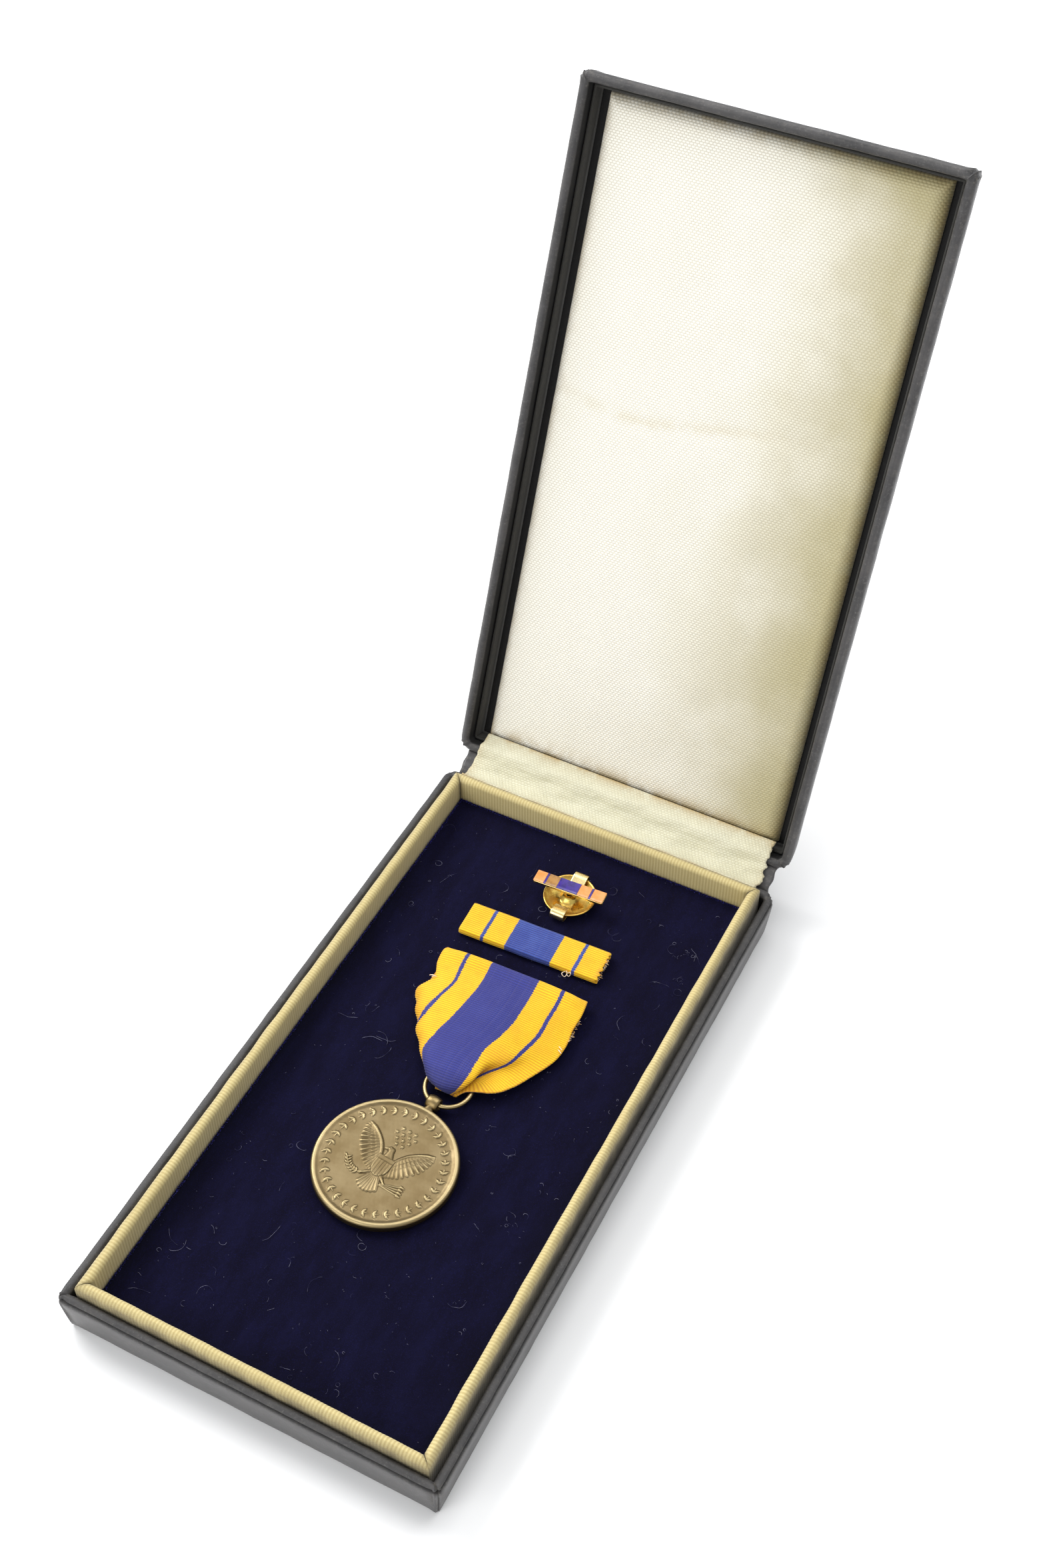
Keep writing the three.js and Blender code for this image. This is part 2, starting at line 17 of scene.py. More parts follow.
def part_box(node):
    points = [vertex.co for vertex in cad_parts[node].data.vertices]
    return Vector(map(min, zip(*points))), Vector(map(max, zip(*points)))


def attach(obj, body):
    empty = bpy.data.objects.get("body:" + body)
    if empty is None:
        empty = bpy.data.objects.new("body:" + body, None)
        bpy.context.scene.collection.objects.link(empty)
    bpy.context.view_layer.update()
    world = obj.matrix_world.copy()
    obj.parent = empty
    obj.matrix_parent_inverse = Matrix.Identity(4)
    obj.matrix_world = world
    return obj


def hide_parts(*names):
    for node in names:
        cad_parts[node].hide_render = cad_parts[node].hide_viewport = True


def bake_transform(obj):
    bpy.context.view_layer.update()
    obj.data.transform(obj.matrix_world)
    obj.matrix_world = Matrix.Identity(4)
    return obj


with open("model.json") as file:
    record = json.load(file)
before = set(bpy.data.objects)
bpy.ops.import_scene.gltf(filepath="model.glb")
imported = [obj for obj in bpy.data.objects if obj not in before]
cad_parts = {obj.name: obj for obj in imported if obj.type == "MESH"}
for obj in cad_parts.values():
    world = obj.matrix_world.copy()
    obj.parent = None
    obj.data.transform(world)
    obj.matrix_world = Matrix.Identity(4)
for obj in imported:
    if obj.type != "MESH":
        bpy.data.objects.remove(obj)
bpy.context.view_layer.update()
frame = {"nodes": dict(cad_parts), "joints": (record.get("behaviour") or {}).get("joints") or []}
MM = 0.001


# ---- camera, floor and light ----------------------------------------------------------
def make_camera():
    data = bpy.data.cameras.new("camera")
    data.lens = 46.4
    data.sensor_width = 36
    camera = bpy.data.objects.new("camera", data)
    camera.location = (0.1297, -0.2120, 0.3786)
    aim = Vector((-0.0301, 0.0942, 0.0))
    camera.rotation_euler = (aim - camera.location).to_track_quat("-Z", "Y").to_euler()
    bpy.context.scene.collection.objects.link(camera)
    bpy.context.scene.camera = camera


def area_light(name, place, aim, size, watts):
    data = bpy.data.lights.new(name, "AREA")
    data.size = size
    data.energy = watts
    light = bpy.data.objects.new(name, data)
    light.location = place
    light.rotation_euler = (Vector(aim) - light.location).to_track_quat("-Z", "Y").to_euler()
    bpy.context.scene.collection.objects.link(light)


def make_studio():
    mesh = bpy.data.meshes.new("floor")
    half = 4.0
    corners = [(-half, -half, 0), (half, -half, 0), (half, half, 0), (-half, half, 0)]
    mesh.from_pydata(corners, [], [(0, 1, 2, 3)])
    floor = bpy.data.objects.new("floor", mesh)
    bpy.context.scene.collection.objects.link(floor)
    paper = bpy.data.materials.new("floor_paper")
    paper.use_nodes = True
    paper.node_tree.nodes["Principled BSDF"].inputs["Base Color"].default_value = (0.93, 0.93, 0.93, 1)
    paper.node_tree.nodes["Principled BSDF"].inputs["Roughness"].default_value = 0.9
    mesh.materials.append(paper)

    world = bpy.data.worlds.new("studio")
    world.use_nodes = True
    world.node_tree.nodes["Background"].inputs["Color"].default_value = (0.97, 0.985, 1.0, 1)
    world.node_tree.nodes["Background"].inputs["Strength"].default_value = 0.62
    bpy.context.scene.world = world
    bpy.context.scene.view_settings.view_transform = "Standard"
    area_light("softbox_left", (-0.80, 0.25, 0.75), (0, 0, 0.02), 0.6, 9.5)
    area_light("softbox_top", (0.10, 0.55, 1.10), (0, 0, 0.02), 0.9, 7.0)
    area_light("softbox_front", (-0.35, -0.95, 0.55), (0, 0, 0.05), 0.8, 5.5)


make_camera()
make_studio()


# ---- materials --------------------------------------------------------------------------
class Finish:
    """A Principled material and short names for the nodes that feed it."""

    def __init__(self, name, **sockets):
        self.material = bpy.data.materials.new(name)
        self.material.use_nodes = True
        self.tree = self.material.node_tree
        self.shader = self.tree.nodes["Principled BSDF"]
        for label, value in sockets.items():
            self.shader.inputs[label.replace("_", " ")].default_value = value
        self.place = self.tree.nodes.new("ShaderNodeTexCoord").outputs["Object"]

    def node(self, kind, values=(), **settings):
        made = self.tree.nodes.new(kind)
        for label, value in settings.items():
            setattr(made, label, value)
        for key, value in dict(values).items():
            self.feed(made.inputs[key], value)
        return made

    def feed(self, socket, value):
        if isinstance(value, bpy.types.NodeSocket):
            self.tree.links.new(value, socket)
        else:
            socket.default_value = value

    def stretched(self, scale, turn=(0, 0, 0)):
        made = self.node("ShaderNodeMapping", {"Vector": self.place, "Scale": scale, "Rotation": turn})
        return made.outputs["Vector"]

    def noise(self, size_mm, detail=3.0, roughness=0.55, place=None):
        values = {"Vector": place or self.place, "Scale": 1 / (size_mm * MM), "Detail": detail,
                  "Roughness": roughness}
        return self.node("ShaderNodeTexNoise", values).outputs["Fac"]

    def cells(self, size_mm, place=None):
        values = {"Vector": place or self.place, "Scale": 1 / (size_mm * MM)}
        return self.node("ShaderNodeTexVoronoi", values).outputs["Distance"]

    def math(self, operation, a, b=0.0, clamp=False):
        made = self.node("ShaderNodeMath", {0: a, 1: b}, operation=operation, use_clamp=clamp)
        return made.outputs["Value"]

    def range(self, value, low, high, to_low=0.0, to_high=1.0):
        values = {"Value": value, "From Min": low, "From Max": high, "To Min": to_low, "To Max": to_high}
        return self.node("ShaderNodeMapRange", values, interpolation_type="SMOOTHSTEP").outputs["Result"]

    def mix(self, share, a, b):
        made = self.node("ShaderNodeMix", data_type="RGBA")
        self.feed(made.inputs["Factor"], share)
        for socket, value in ((made.inputs[6], a), (made.inputs[7], b)):
            self.feed(socket, value)
        return made.outputs[2]

    def axis(self, name, place=None):
        made = self.node("ShaderNodeSeparateXYZ", {"Vector": place or self.place})
        return made.outputs[name]

    def attribute(self, name):
        return self.node("ShaderNodeAttribute", attribute_name=name).outputs["Fac"]

    def bump(self, height, strength, depth_mm, under=None):
        values = {"Height": height, "Strength": strength, "Distance": depth_mm * MM}
        if under is not None:
            values["Normal"] = under
        return self.node("ShaderNodeBump", values).outputs["Normal"]

    def color(self, value):
        self.feed(self.shader.inputs["Base Color"], value)

    def rough(self, value):
        self.feed(self.shader.inputs["Roughness"], value)

    def normal(self, value):
        self.feed(self.shader.inputs["Normal"], value)


def srgb(red, green, blue):
    """A colour given as it looks on a screen, 0 to 255, as the linear values shaders take."""
    def linear(c):
        c /= 255
        return c / 12.92 if c <= 0.04045 else ((c + 0.055) / 1.055) ** 2.4
    return (linear(red), linear(green), linear(blue), 1)


def leatherette(name="leatherette"):
    f = Finish(name, Specular_IOR_Level=0.36, Coat_Roughness=0.30)
    grain = f.cells(0.42)
    fine = f.noise(0.16, 4)
    mottle = f.noise(9.0, 5, 0.6)
    scuff = f.range(f.noise(2.2, 6, 0.7), 0.60, 0.74)
    streak = f.noise(1.4, 5, 0.65, f.stretched((0.25, 0.25, 1)))
    shade = f.mix(f.range(mottle, 0.3, 0.7), srgb(66, 65, 66), srgb(88, 86, 86))
    shade = f.mix(f.range(streak, 0.50, 0.72, 0, 0.55), shade, srgb(94, 93, 93))
    shade = f.mix(f.math("MULTIPLY", scuff, 0.30), shade, srgb(112, 110, 108))
    fleck = f.range(f.noise(0.55, 5, 0.75), 0.54, 0.72, 0, 0.45)
    shade = f.mix(fleck, shade, srgb(134, 134, 134))
    worn = f.math("MULTIPLY", f.attribute("wear"), f.range(f.noise(1.1, 5, 0.7), 0.46, 0.64))
    shade = f.mix(worn, shade, srgb(126, 120, 110))
    # painted shade: this attribute paints the leatherette towards near black in grooves, corner pleats, inner
    # walls and on the rim tops
    soil = f.attribute("soil")
    f.color(f.mix(soil, shade, srgb(6, 6, 6)))
    gloss = f.range(f.math("ADD", mottle, f.math("MULTIPLY", fine, 0.35)), 0.45, 0.95, 0.34, 0.52)
    f.rough(f.math("ADD", gloss, f.math("MULTIPLY", soil, 0.5), clamp=True))
    f.feed(f.shader.inputs["Coat Weight"], f.range(soil, 0.0, 0.7, 0.12, 0.0))
    height = f.math("ADD", f.math("MULTIPLY", grain, 0.6), f.math("MULTIPLY", fine, 0.5))
    drag = f.noise(0.5, 3, 0.6, f.stretched((1, 0.12, 1)))
    f.normal(f.bump(f.math("ADD", height, f.math("MULTIPLY", drag, 0.6)), 0.5, 0.06))
    return f.material


def lining_paper():
    f = Finish("lining_paper", Specular_IOR_Level=0.35)
    blotch = f.noise(14, 5)
    f.color(f.mix(f.range(blotch, 0.35, 0.65), srgb(44, 43, 42), srgb(58, 55, 50)))
    f.rough(f.range(f.noise(0.8, 4), 0.3, 0.7, 0.62, 0.8))
    f.normal(f.bump(f.noise(0.3, 5, 0.7), 0.4, 0.05))
    return f.material


def ribbed_cloth():
    f = Finish("ribbed_cloth", Sheen_Weight=0.25, Sheen_Roughness=0.5, Specular_IOR_Level=0.3,
               Roughness=0.78)
    rib = f.range(f.attribute("rib"), 0.0, 1.0)
    age = f.range(f.noise(17, 4, 0.6), 0.38, 0.66)
    yarn = f.noise(0.10, 3, 0.7)
    # painted shade in the rib valleys: lighter on each rib's crest, darker between ribs
    base = f.mix(rib, srgb(180, 161, 104), srgb(204, 188, 132))
    base = f.mix(f.math("MULTIPLY", age, 0.35), base, srgb(180, 160, 100))
    # painted shade: darkens the cloth towards olive brown in uneven patches
    soil = f.math("MULTIPLY", f.attribute("soil"), f.range(f.noise(3.5, 5), 0.15, 0.75, 0.4, 1.0))
    base = f.mix(soil, base, srgb(92, 76, 38))
    f.color(f.mix(f.range(yarn, 0.35, 0.75, 0.0, 0.22), base, srgb(250, 240, 205)))
    f.normal(f.bump(yarn, 0.45, 0.04))
    return f.material


def velvet():
    f = Finish("velvet", Sheen_Weight=0.10, Sheen_Roughness=0.42, Roughness=0.95, Specular_IOR_Level=0.08)
    f.shader.inputs["Sheen Tint"].default_value = srgb(92, 88, 190)
    nap = f.noise(0.22, 4, 0.75)
    brushed = f.noise(6.0, 5, 0.62, f.stretched((1.6, 0.55, 1), (0, 0, 0.25)))
    tuft = f.noise(1.1, 4, 0.65)
    shade = f.mix(f.range(brushed, 0.30, 0.75), srgb(10, 8, 26), srgb(15, 14, 39))
    shade = f.mix(f.range(tuft, 0.45, 0.8, 0, 0.5), shade, srgb(9, 8, 22))
    shade = f.mix(f.range(nap, 0.50, 0.78, 0, 0.6), shade, srgb(31, 31, 84))
    # painted shade: near black where the attribute is set, beside the collars
    f.color(f.mix(f.attribute("soil"), shade, srgb(7, 8, 12)))
    height = f.math("ADD", nap, f.math("MULTIPLY", tuft, 1.4))
    f.normal(f.bump(f.math("ADD", height, f.math("MULTIPLY", brushed, 1.2)), 0.7, 0.14))
    return f.material


def pile():
    f = Finish("velvet_pile", Sheen_Weight=0.8, Sheen_Roughness=0.3, Roughness=0.9, Specular_IOR_Level=0.1)
    f.shader.inputs["Sheen Tint"].default_value = srgb(120, 118, 225)
    f.color(f.mix(f.range(f.noise(0.6, 3), 0.4, 0.65), srgb(28, 26, 84), srgb(58, 56, 150)))
    return f.material


def lint():
    f = Finish("lint", Roughness=0.8, Specular_IOR_Level=0.2)
    f.color(f.mix(f.range(f.noise(2.5, 3), 0.42, 0.6), srgb(44, 44, 76), srgb(130, 130, 152)))
    return f.material


def satin(name, pale, deep, stain, contrast):
    """Heavy satin with a staggered float weave of about half a millimetre."""
    f = Finish(name, Sheen_Weight=0.35, Sheen_Roughness=0.35, Specular_IOR_Level=0.55,
               Anisotropic=0.35)
    across = f.attribute("across")
    along = f.attribute("along")
    pitch_x, pitch_y = 0.88, 0.56
    row = f.math("MULTIPLY", along, 1 / pitch_y)
    stagger = f.math("MULTIPLY", f.math("FLOOR", row), 0.4)
    column = f.math("ADD", f.math("MULTIPLY", across, 1 / pitch_x), stagger)
    wave_x = f.math("SINE", f.math("MULTIPLY", f.math("FRACT", column), math.pi))
    wave_y = f.math("SINE", f.math("MULTIPLY", f.math("FRACT", row), math.pi))
    floats = f.math("MULTIPLY", wave_x, wave_y)
    # painted shade: this attribute moves the satin from pale towards deep where the lid is in shade
    broad = f.math("ADD", f.attribute("tone"), f.range(f.noise(24, 4, 0.5), 0.3, 0.7, -0.12, 0.12))
    yarn = f.noise(0.5, 3, 0.6, f.stretched((1, 0.2, 1)))
    base = f.mix(f.range(broad, 0.0, 1.0), pale, deep)
    weave = f.range(floats, 0.05, 0.55, contrast, 0.0)
    base = f.mix(weave, base, srgb(160, 143, 100))
    marks = f.math("MULTIPLY", f.attribute("stain"), f.range(f.noise(5.0, 6, 0.65), 0.30, 0.62))
    f.color(f.mix(marks, base, stain))
    f.rough(f.range(floats, 0.0, 1.0, 0.62, 0.38))
    height = f.math("ADD", floats, f.math("MULTIPLY", yarn, 0.35))
    f.normal(f.bump(height, 0.75, 0.11))
    return f.material


def trim_cord():
    f = Finish("trim_cloth", Sheen_Weight=0.2, Roughness=0.7)
    twist = f.noise(0.7, 3, 0.6)
    f.color(f.mix(f.range(twist, 0.35, 0.65), srgb(24, 23, 18), srgb(34, 32, 25)))
    f.normal(f.bump(twist, 0.6, 0.1))
    return f.material


def grosgrain(name, yellow, blue, blue_pale):
    """Corded ribbon: a wide middle stripe and a thin stripe in each outer band."""
    f = Finish(name, Sheen_Weight=0.22, Sheen_Roughness=0.45, Specular_IOR_Level=0.35, Roughness=0.66)
    across = f.attribute("across")
    rib = f.attribute("rib")
    wander = f.range(f.noise(0.5, 2), 0.3, 0.7, -0.0022, 0.0022)
    place = f.math("ADD", f.math("ADD", across, wander), f.range(rib, 0, 1, -0.0012, 0.0012))
    off = f.math("ABSOLUTE", f.math("SUBTRACT", place, 0.5))
    wide = f.range(off, 0.163, 0.167, 1.0, 0.0)
    thin = f.math("ABSOLUTE", f.math("SUBTRACT", off, 0.331))
    stripe = f.math("MAXIMUM", wide, f.range(thin, 0.010, 0.0135, 1.0, 0.0))
    warp = f.node("ShaderNodeTexNoise", {"W": f.math("MULTIPLY", across, 260.0), "Scale": 1.0, "Detail": 1.0},
                  noise_dimensions="1D").outputs["Fac"]
    broad = f.noise(4.0, 4, 0.6)
    gold = f.mix(f.range(broad, 0.35, 0.75, 0, 0.55), yellow, srgb(236, 172, 8))
    # painted shade in the rib valleys: darker orange and darker blue between the ribs
    gold = f.mix(f.range(rib, 0.0, 0.9, 0.65, 0.0), gold, srgb(190, 122, 2))
    deep = f.mix(f.range(broad, 0.35, 0.7, 0.0, 0.5), blue, blue_pale)
    deep = f.mix(f.range(rib, 0.1, 0.9, 0.60, 0.0), deep, srgb(26, 27, 92))
    cloth = f.mix(stripe, gold, deep)
    cloth = f.mix(f.range(warp, 0.45, 0.8, 0.0, 0.04), cloth, srgb(255, 226, 150))
    # painted shade: darker orange and dark blue where the attribute is set
    cloth = f.mix(f.attribute("soil"), cloth, f.mix(stripe, srgb(146, 78, 4), srgb(16, 16, 58)))
    frayed = f.math("MULTIPLY", f.attribute("wear"), f.range(f.noise(0.7, 4), 0.4, 0.65))
    f.color(f.mix(frayed, cloth, srgb(214, 140, 52)))
    f.normal(f.bump(f.math("ADD", warp, f.noise(0.09, 3, 0.7)), 0.5, 0.035))
    return f.material


def struck_metal(name, bright, dull, dirt, polish, low, high):
    """Metal whose hollows hold dirt: the relief attribute is 0 in a hollow and 1 on a worn height."""
    f = Finish(name, Metallic=1.0)
    tarnish = f.noise(5.5, 6, 0.6)
    speck = f.noise(0.35, 4, 0.7)
    level = f.attribute("relief")
    base = f.mix(f.range(tarnish, 0.30, 0.70), bright, dull)
    hollow = f.range(level, 0.05, 0.55, 0.6, 0.0)
    base = f.mix(hollow, base, dirt)
    base = f.mix(f.range(level, 0.72, 1.0, 0.0, 0.7), base, polish)
    f.color(f.mix(f.range(speck, 0.64, 0.82, 0, 0.35), base, dirt))
    f.rough(f.range(f.math("ADD", tarnish, f.math("MULTIPLY", speck, 0.4)), 0.4, 0.95, low, high))
    f.normal(f.bump(f.math("ADD", speck, f.math("MULTIPLY", tarnish, 0.5)), 0.12, 0.05))
    return f.material


def patchy_brass():
    f = Finish("patchy_brass", Metallic=1.0)
    patch = f.range(f.noise(1.9, 5, 0.6), 0.38, 0.64)
    speck = f.noise(0.3, 4, 0.7)
    base = f.mix(f.math("MULTIPLY", patch, 0.55), srgb(228, 198, 104), srgb(186, 132, 60))
    base = f.mix(f.range(f.noise(4.2, 4), 0.54, 0.74, 0, 0.45), base, srgb(146, 92, 46))
    f.color(f.mix(f.range(speck, 0.6, 0.8, 0, 0.35), base, srgb(112, 80, 40)))
    f.rough(f.range(f.math("ADD", patch, speck), 0.3, 1.5, 0.20, 0.42))
    f.normal(f.bump(speck, 0.2, 0.05))
    return f.material


def enamel(name, main, second):
    f = Finish(name, Roughness=0.22, Coat_Weight=0.7, Coat_Roughness=0.08, Specular_IOR_Level=0.5)
    cloud = f.noise(1.6, 5, 0.6)
    grit = f.noise(0.14, 4, 0.7)
    base = f.mix(f.range(cloud, 0.38, 0.64), main, second)
    f.color(f.mix(f.range(grit, 0.64, 0.78, 0, 0.5), base, srgb(120, 84, 52)))
    f.normal(f.bump(f.math("ADD", cloud, grit), 0.15, 0.04))
    return f.material


def card():
    f = Finish("grey_card", Roughness=0.9, Specular_IOR_Level=0.2)
    fibre = f.noise(0.7, 6, 0.7, f.stretched((1, 0.3, 1)))
    f.color(f.mix(f.range(fibre, 0.3, 0.7), srgb(168, 156, 130), srgb(196, 184, 156)))
    f.normal(f.bump(fibre, 0.4, 0.08))
    return f.material


def thread(name, shade):
    f = Finish(name, Roughness=0.8, Sheen_Weight=0.3)
    f.color(f.mix(f.range(f.noise(0.4, 3), 0.35, 0.65), shade, srgb(250, 236, 214)))
    return f.material


LEATHERETTE = leatherette()
LINING = lining_paper()
RIBBED = ribbed_cloth()
VELVET = velvet()
PILE = pile()
LINT = lint()
PAD_SATIN = satin("pad_satin", srgb(250, 247, 236), srgb(186, 177, 134), srgb(176, 152, 98), 0.42)
BAND_SATIN = satin("band_satin", srgb(222, 220, 196), srgb(202, 195, 160), srgb(176, 148, 94), 0.26)
TRIM = trim_cord()
RIBBON = grosgrain("ribbon", srgb(240, 196, 8), srgb(38, 45, 130), srgb(48, 57, 142))
BAR_RIBBON = grosgrain("bar_ribbon", srgb(238, 198, 20), srgb(46, 70, 152), srgb(70, 98, 178))
BRONZE = struck_metal("bronze", srgb(126, 111, 82), srgb(112, 96, 67), srgb(66, 50, 30), srgb(188, 170, 128),
                      0.36, 0.50)
WORN_BRONZE = struck_metal("worn_bronze", srgb(156, 138, 100), srgb(132, 112, 74), srgb(76, 56, 30),
                           srgb(190, 170, 124), 0.30, 0.44)
BRASS = patchy_brass()
GILT = struck_metal("gilt", srgb(240, 214, 142), srgb(222, 186, 104), srgb(150, 104, 48), srgb(252, 236, 186),
                    0.18, 0.32)
ENAMEL_ORANGE = enamel("enamel_orange", srgb(232, 158, 92), srgb(224, 144, 72))
ENAMEL_BLUE = enamel("enamel_blue", srgb(58, 34, 140), srgb(44, 26, 108))
ENAMEL_WORN = enamel("enamel_worn", srgb(176, 128, 66), srgb(142, 100, 52))
CARD = card()
THREAD_GOLD = thread("thread_gold", srgb(226, 160, 40))
THREAD_PALE = thread("thread_pale", srgb(236, 206, 176))


# ---- mesh helpers -------------------------------------------------------------------------
def box_mm(node):
    low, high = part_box(node)
    return np.array(low) / MM, np.array(high) / MM


def middle(node):
    low, high = box_mm(node)
    return (low + high) / 2


def ripple(points, wavelength, seed, waves=7):
    """Smooth pseudo-random waves of about that wavelength, mostly between -1 and 1."""
    rng = np.random.default_rng(seed)
    points = np.asarray(points, float)
    directions = rng.normal(size=(waves, points.shape[-1]))
    directions /= np.linalg.norm(directions, axis=1, keepdims=True)
    lengths = wavelength * rng.uniform(0.6, 1.6, waves)
    phases = rng.uniform(0, 2 * math.pi, waves)
    return np.sin(points @ (directions * 2 * math.pi / lengths[:, None]).T + phases).mean(-1) * 1.6


def spline(knots, values, at):
    """Smooth curve through values at knots; values may carry any trailing shape."""
    knots, values, at = (np.asarray(x, float) for x in (knots, values, at))
    slopes = np.gradient(values, knots, axis=0)
    index = np.clip(np.searchsorted(knots, at, side="right") - 1, 0, len(knots) - 2)
    width = knots[index + 1] - knots[index]
    t = (at - knots[index]) / width
    shape = (-1,) + (1,) * (values.ndim - 1)
    t, width = t.reshape(shape), width.reshape(shape)
    a, b = values[index], values[index + 1]
    m, n = slopes[index] * width, slopes[index + 1] * width
    return ((2 * t**3 - 3 * t**2 + 1) * a + (t**3 - 2 * t**2 + t) * m
            + (-2 * t**3 + 3 * t**2) * b + (t**3 - t**2) * n)


def along_path(path, count):
    """count points at even steps along a smooth path through the given points."""
    path = np.asarray(path, float)
    rough_at = np.linspace(0, len(path) - 1, 400)
    dense = spline(np.arange(len(path)), path, rough_at)
    run = np.concatenate([[0], np.cumsum(np.linalg.norm(np.diff(dense, axis=0), axis=1))])
    even = np.linspace(0, run[-1], count)
    return np.column_stack([np.interp(even, run, column) for column in dense.T]), even


def carried(x, line):
    """A path of (y, z) points carried along X: x is a grid, one row for each point of the path."""
    return np.stack([x, np.broadcast_to(line[:, None, 0], x.shape),
                     np.broadcast_to(line[:, None, 1], x.shape)], -1)


def grid_faces(rows, columns, close_rows=False, close_columns=False, first=0):
    i = np.arange(rows if close_rows else rows - 1)[:, None]
    j = np.arange(columns if close_columns else columns - 1)[None, :]
    i, j = np.broadcast_arrays(i, j)
    below, right = (i + 1) % rows, (j + 1) % columns
    quads = np.stack([i * columns + j, i * columns + right, below * columns + right, below * columns + j], -1)
    return (quads.reshape(-1, 4) + first).tolist()


def make_piece(name, points, faces, material, matrix=None, weld=False, **attributes):
    mesh = bpy.data.meshes.new(name)
    mesh.from_pydata((np.asarray(points, float).reshape(-1, 3) * MM).tolist(), [], faces)
    for label in ("relief", "wear", "across", "along", "rib", "soil", "stain", "tone"):
        if label in attributes:
            values = np.asarray(attributes[label], np.float32).ravel()
            mesh.attributes.new(label, "FLOAT", "POINT").data.foreach_set("value", values)
    edit = bmesh.new()
    edit.from_mesh(mesh)
    if weld:
        bmesh.ops.remove_doubles(edit, verts=edit.verts, dist=2e-6)
        open_edges = [edge for edge in edit.edges if edge.is_boundary]
        bmesh.ops.holes_fill(edit, edges=open_edges, sides=0)
    bmesh.ops.recalc_face_normals(edit, faces=edit.faces)
    edit.to_mesh(mesh)
    edit.free()
    if matrix is not None:
        mesh.transform(matrix)
    mesh.shade_smooth()
    mesh.materials.append(material)
    piece = bpy.data.objects.new(name, mesh)
    bpy.context.scene.collection.objects.link(piece)
    return piece


def slab(upper, lower):
    """Points and faces of a closed body between two grids of the same shape."""
    rows, columns = upper.shape[:2]
    count = rows * columns
    faces = grid_faces(rows, columns)
    faces += [face[::-1] for face in grid_faces(rows, columns, first=count)]
    index = np.arange(count).reshape(rows, columns)
    border = np.concatenate([index[0, :-1], index[:-1, -1], index[-1, :0:-1], index[:0:-1, 0]])
    following = np.roll(border, -1)
    faces += [[b, a, a + count, b + count] for a, b in zip(border.tolist(), following.tolist())]
    return np.concatenate([upper.reshape(-1, 3), lower.reshape(-1, 3)]), faces


def cap_ends(faces, rows, columns):
    """Closes the first and last ring of a tube-like grid."""
    faces.append(list(range(columns)))
    faces.append([(rows - 1) * columns + k for k in range(columns)])
    return faces


def both(values, shape=None):
    """An attribute of one grid, repeated for a slab's upper and lower grids."""
    values = values if shape is None else np.broadcast_to(values, shape)
    return np.concatenate([values.ravel()] * 2)


def round_rings(profile, angle):
    """Circles about Z, one for each (radius, z) of the profile."""
    return np.stack([np.stack([radius * np.cos(angle), radius * np.sin(angle), np.full(len(angle), z)], -1)
                     for radius, z in profile])


def around_circle(steps):
    return np.arange(steps) * 2 * math.pi / steps


def grid_normals(points):
    normals = np.cross(np.gradient(points, axis=1), np.gradient(points, axis=0))
    return normals / np.maximum(np.linalg.norm(normals, axis=-1, keepdims=True), 1e-9)


def tube(points, radius, sides=5):
    """Points and faces of a closed tube along a path, tapering to its ends."""
    points = np.asarray(points, float)
    along = np.gradient(points, axis=0)
    along /= np.maximum(np.linalg.norm(along, axis=1, keepdims=True), 1e-9)
    reference = np.array([0.31, 0.17, 0.93])
    side = np.cross(along, reference)
    side /= np.linalg.norm(side, axis=1, keepdims=True)
    up = np.cross(along, side)
    angle = around_circle(sides)
    taper = np.minimum(1, np.minimum(np.arange(len(points)), np.arange(len(points))[::-1]) * 0.5 + 0.4)
    rings = points[:, None] + radius * taper[:, None, None] * (
        side[:, None] * np.cos(angle)[None, :, None] + up[:, None] * np.sin(angle)[None, :, None])
    faces = grid_faces(len(points), sides, close_columns=True)
    faces.append(list(range(sides)))
    faces.append([len(points) * sides - 1 - k for k in range(sides)])
    return rings.reshape(-1, 3), faces


def gather(parts):
    """Several (points, faces) bodies as one."""
    points, faces, first = [], [], 0
    for some_points, some_faces in parts:
        points.append(np.asarray(some_points, float).reshape(-1, 3))
        faces += [[v + first for v in face] for face in some_faces]
        first += len(points[-1])
    return np.concatenate(points), faces


def turned(place, degrees):
    """Places a piece modelled about the origin: turned about Z, then moved, in millimetres."""
    return Matrix.Translation(Vector(place) * MM) @ Matrix.Rotation(math.radians(degrees), 4, "Z")


def settle(piece, body, slot, *nodes):
    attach(piece, body)
    if nodes:
        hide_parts(*nodes)


# ---- the lid's place ------------------------------------------------------------------------
def joint_named(name):
    return next(joint for joint in frame["joints"] if joint["name"] == name)


PIVOT = np.array(joint_named("lid_hinge")["pos_m"]) / MM
LID_OPEN_DEG = -joint_named("lid_hinge")["range_deg"][0]
BASE_LOW, BASE_HIGH = box_mm("base_walls")
HALF_X, HALF_Y, RIM_Z = BASE_HIGH
CLEARANCE = 0.3
# The lid is modelled closed, with depth measured up from its rim, then swung open.
LID_PLACE = (Matrix.Translation(Vector(PIVOT) * MM)
             @ Matrix.Rotation(-math.radians(LID_OPEN_DEG), 4, "X")
             @ Matrix.Translation(Vector((0, -PIVOT[1], RIM_Z + CLEARANCE - PIVOT[2])) * MM))
LID_DEPTH = 8.8
WALL = 2.3


# ---- leatherette over board -----------------------------------------------------------------
FREE_RADIUS, HINGE_RADIUS = 1.7, 3.4


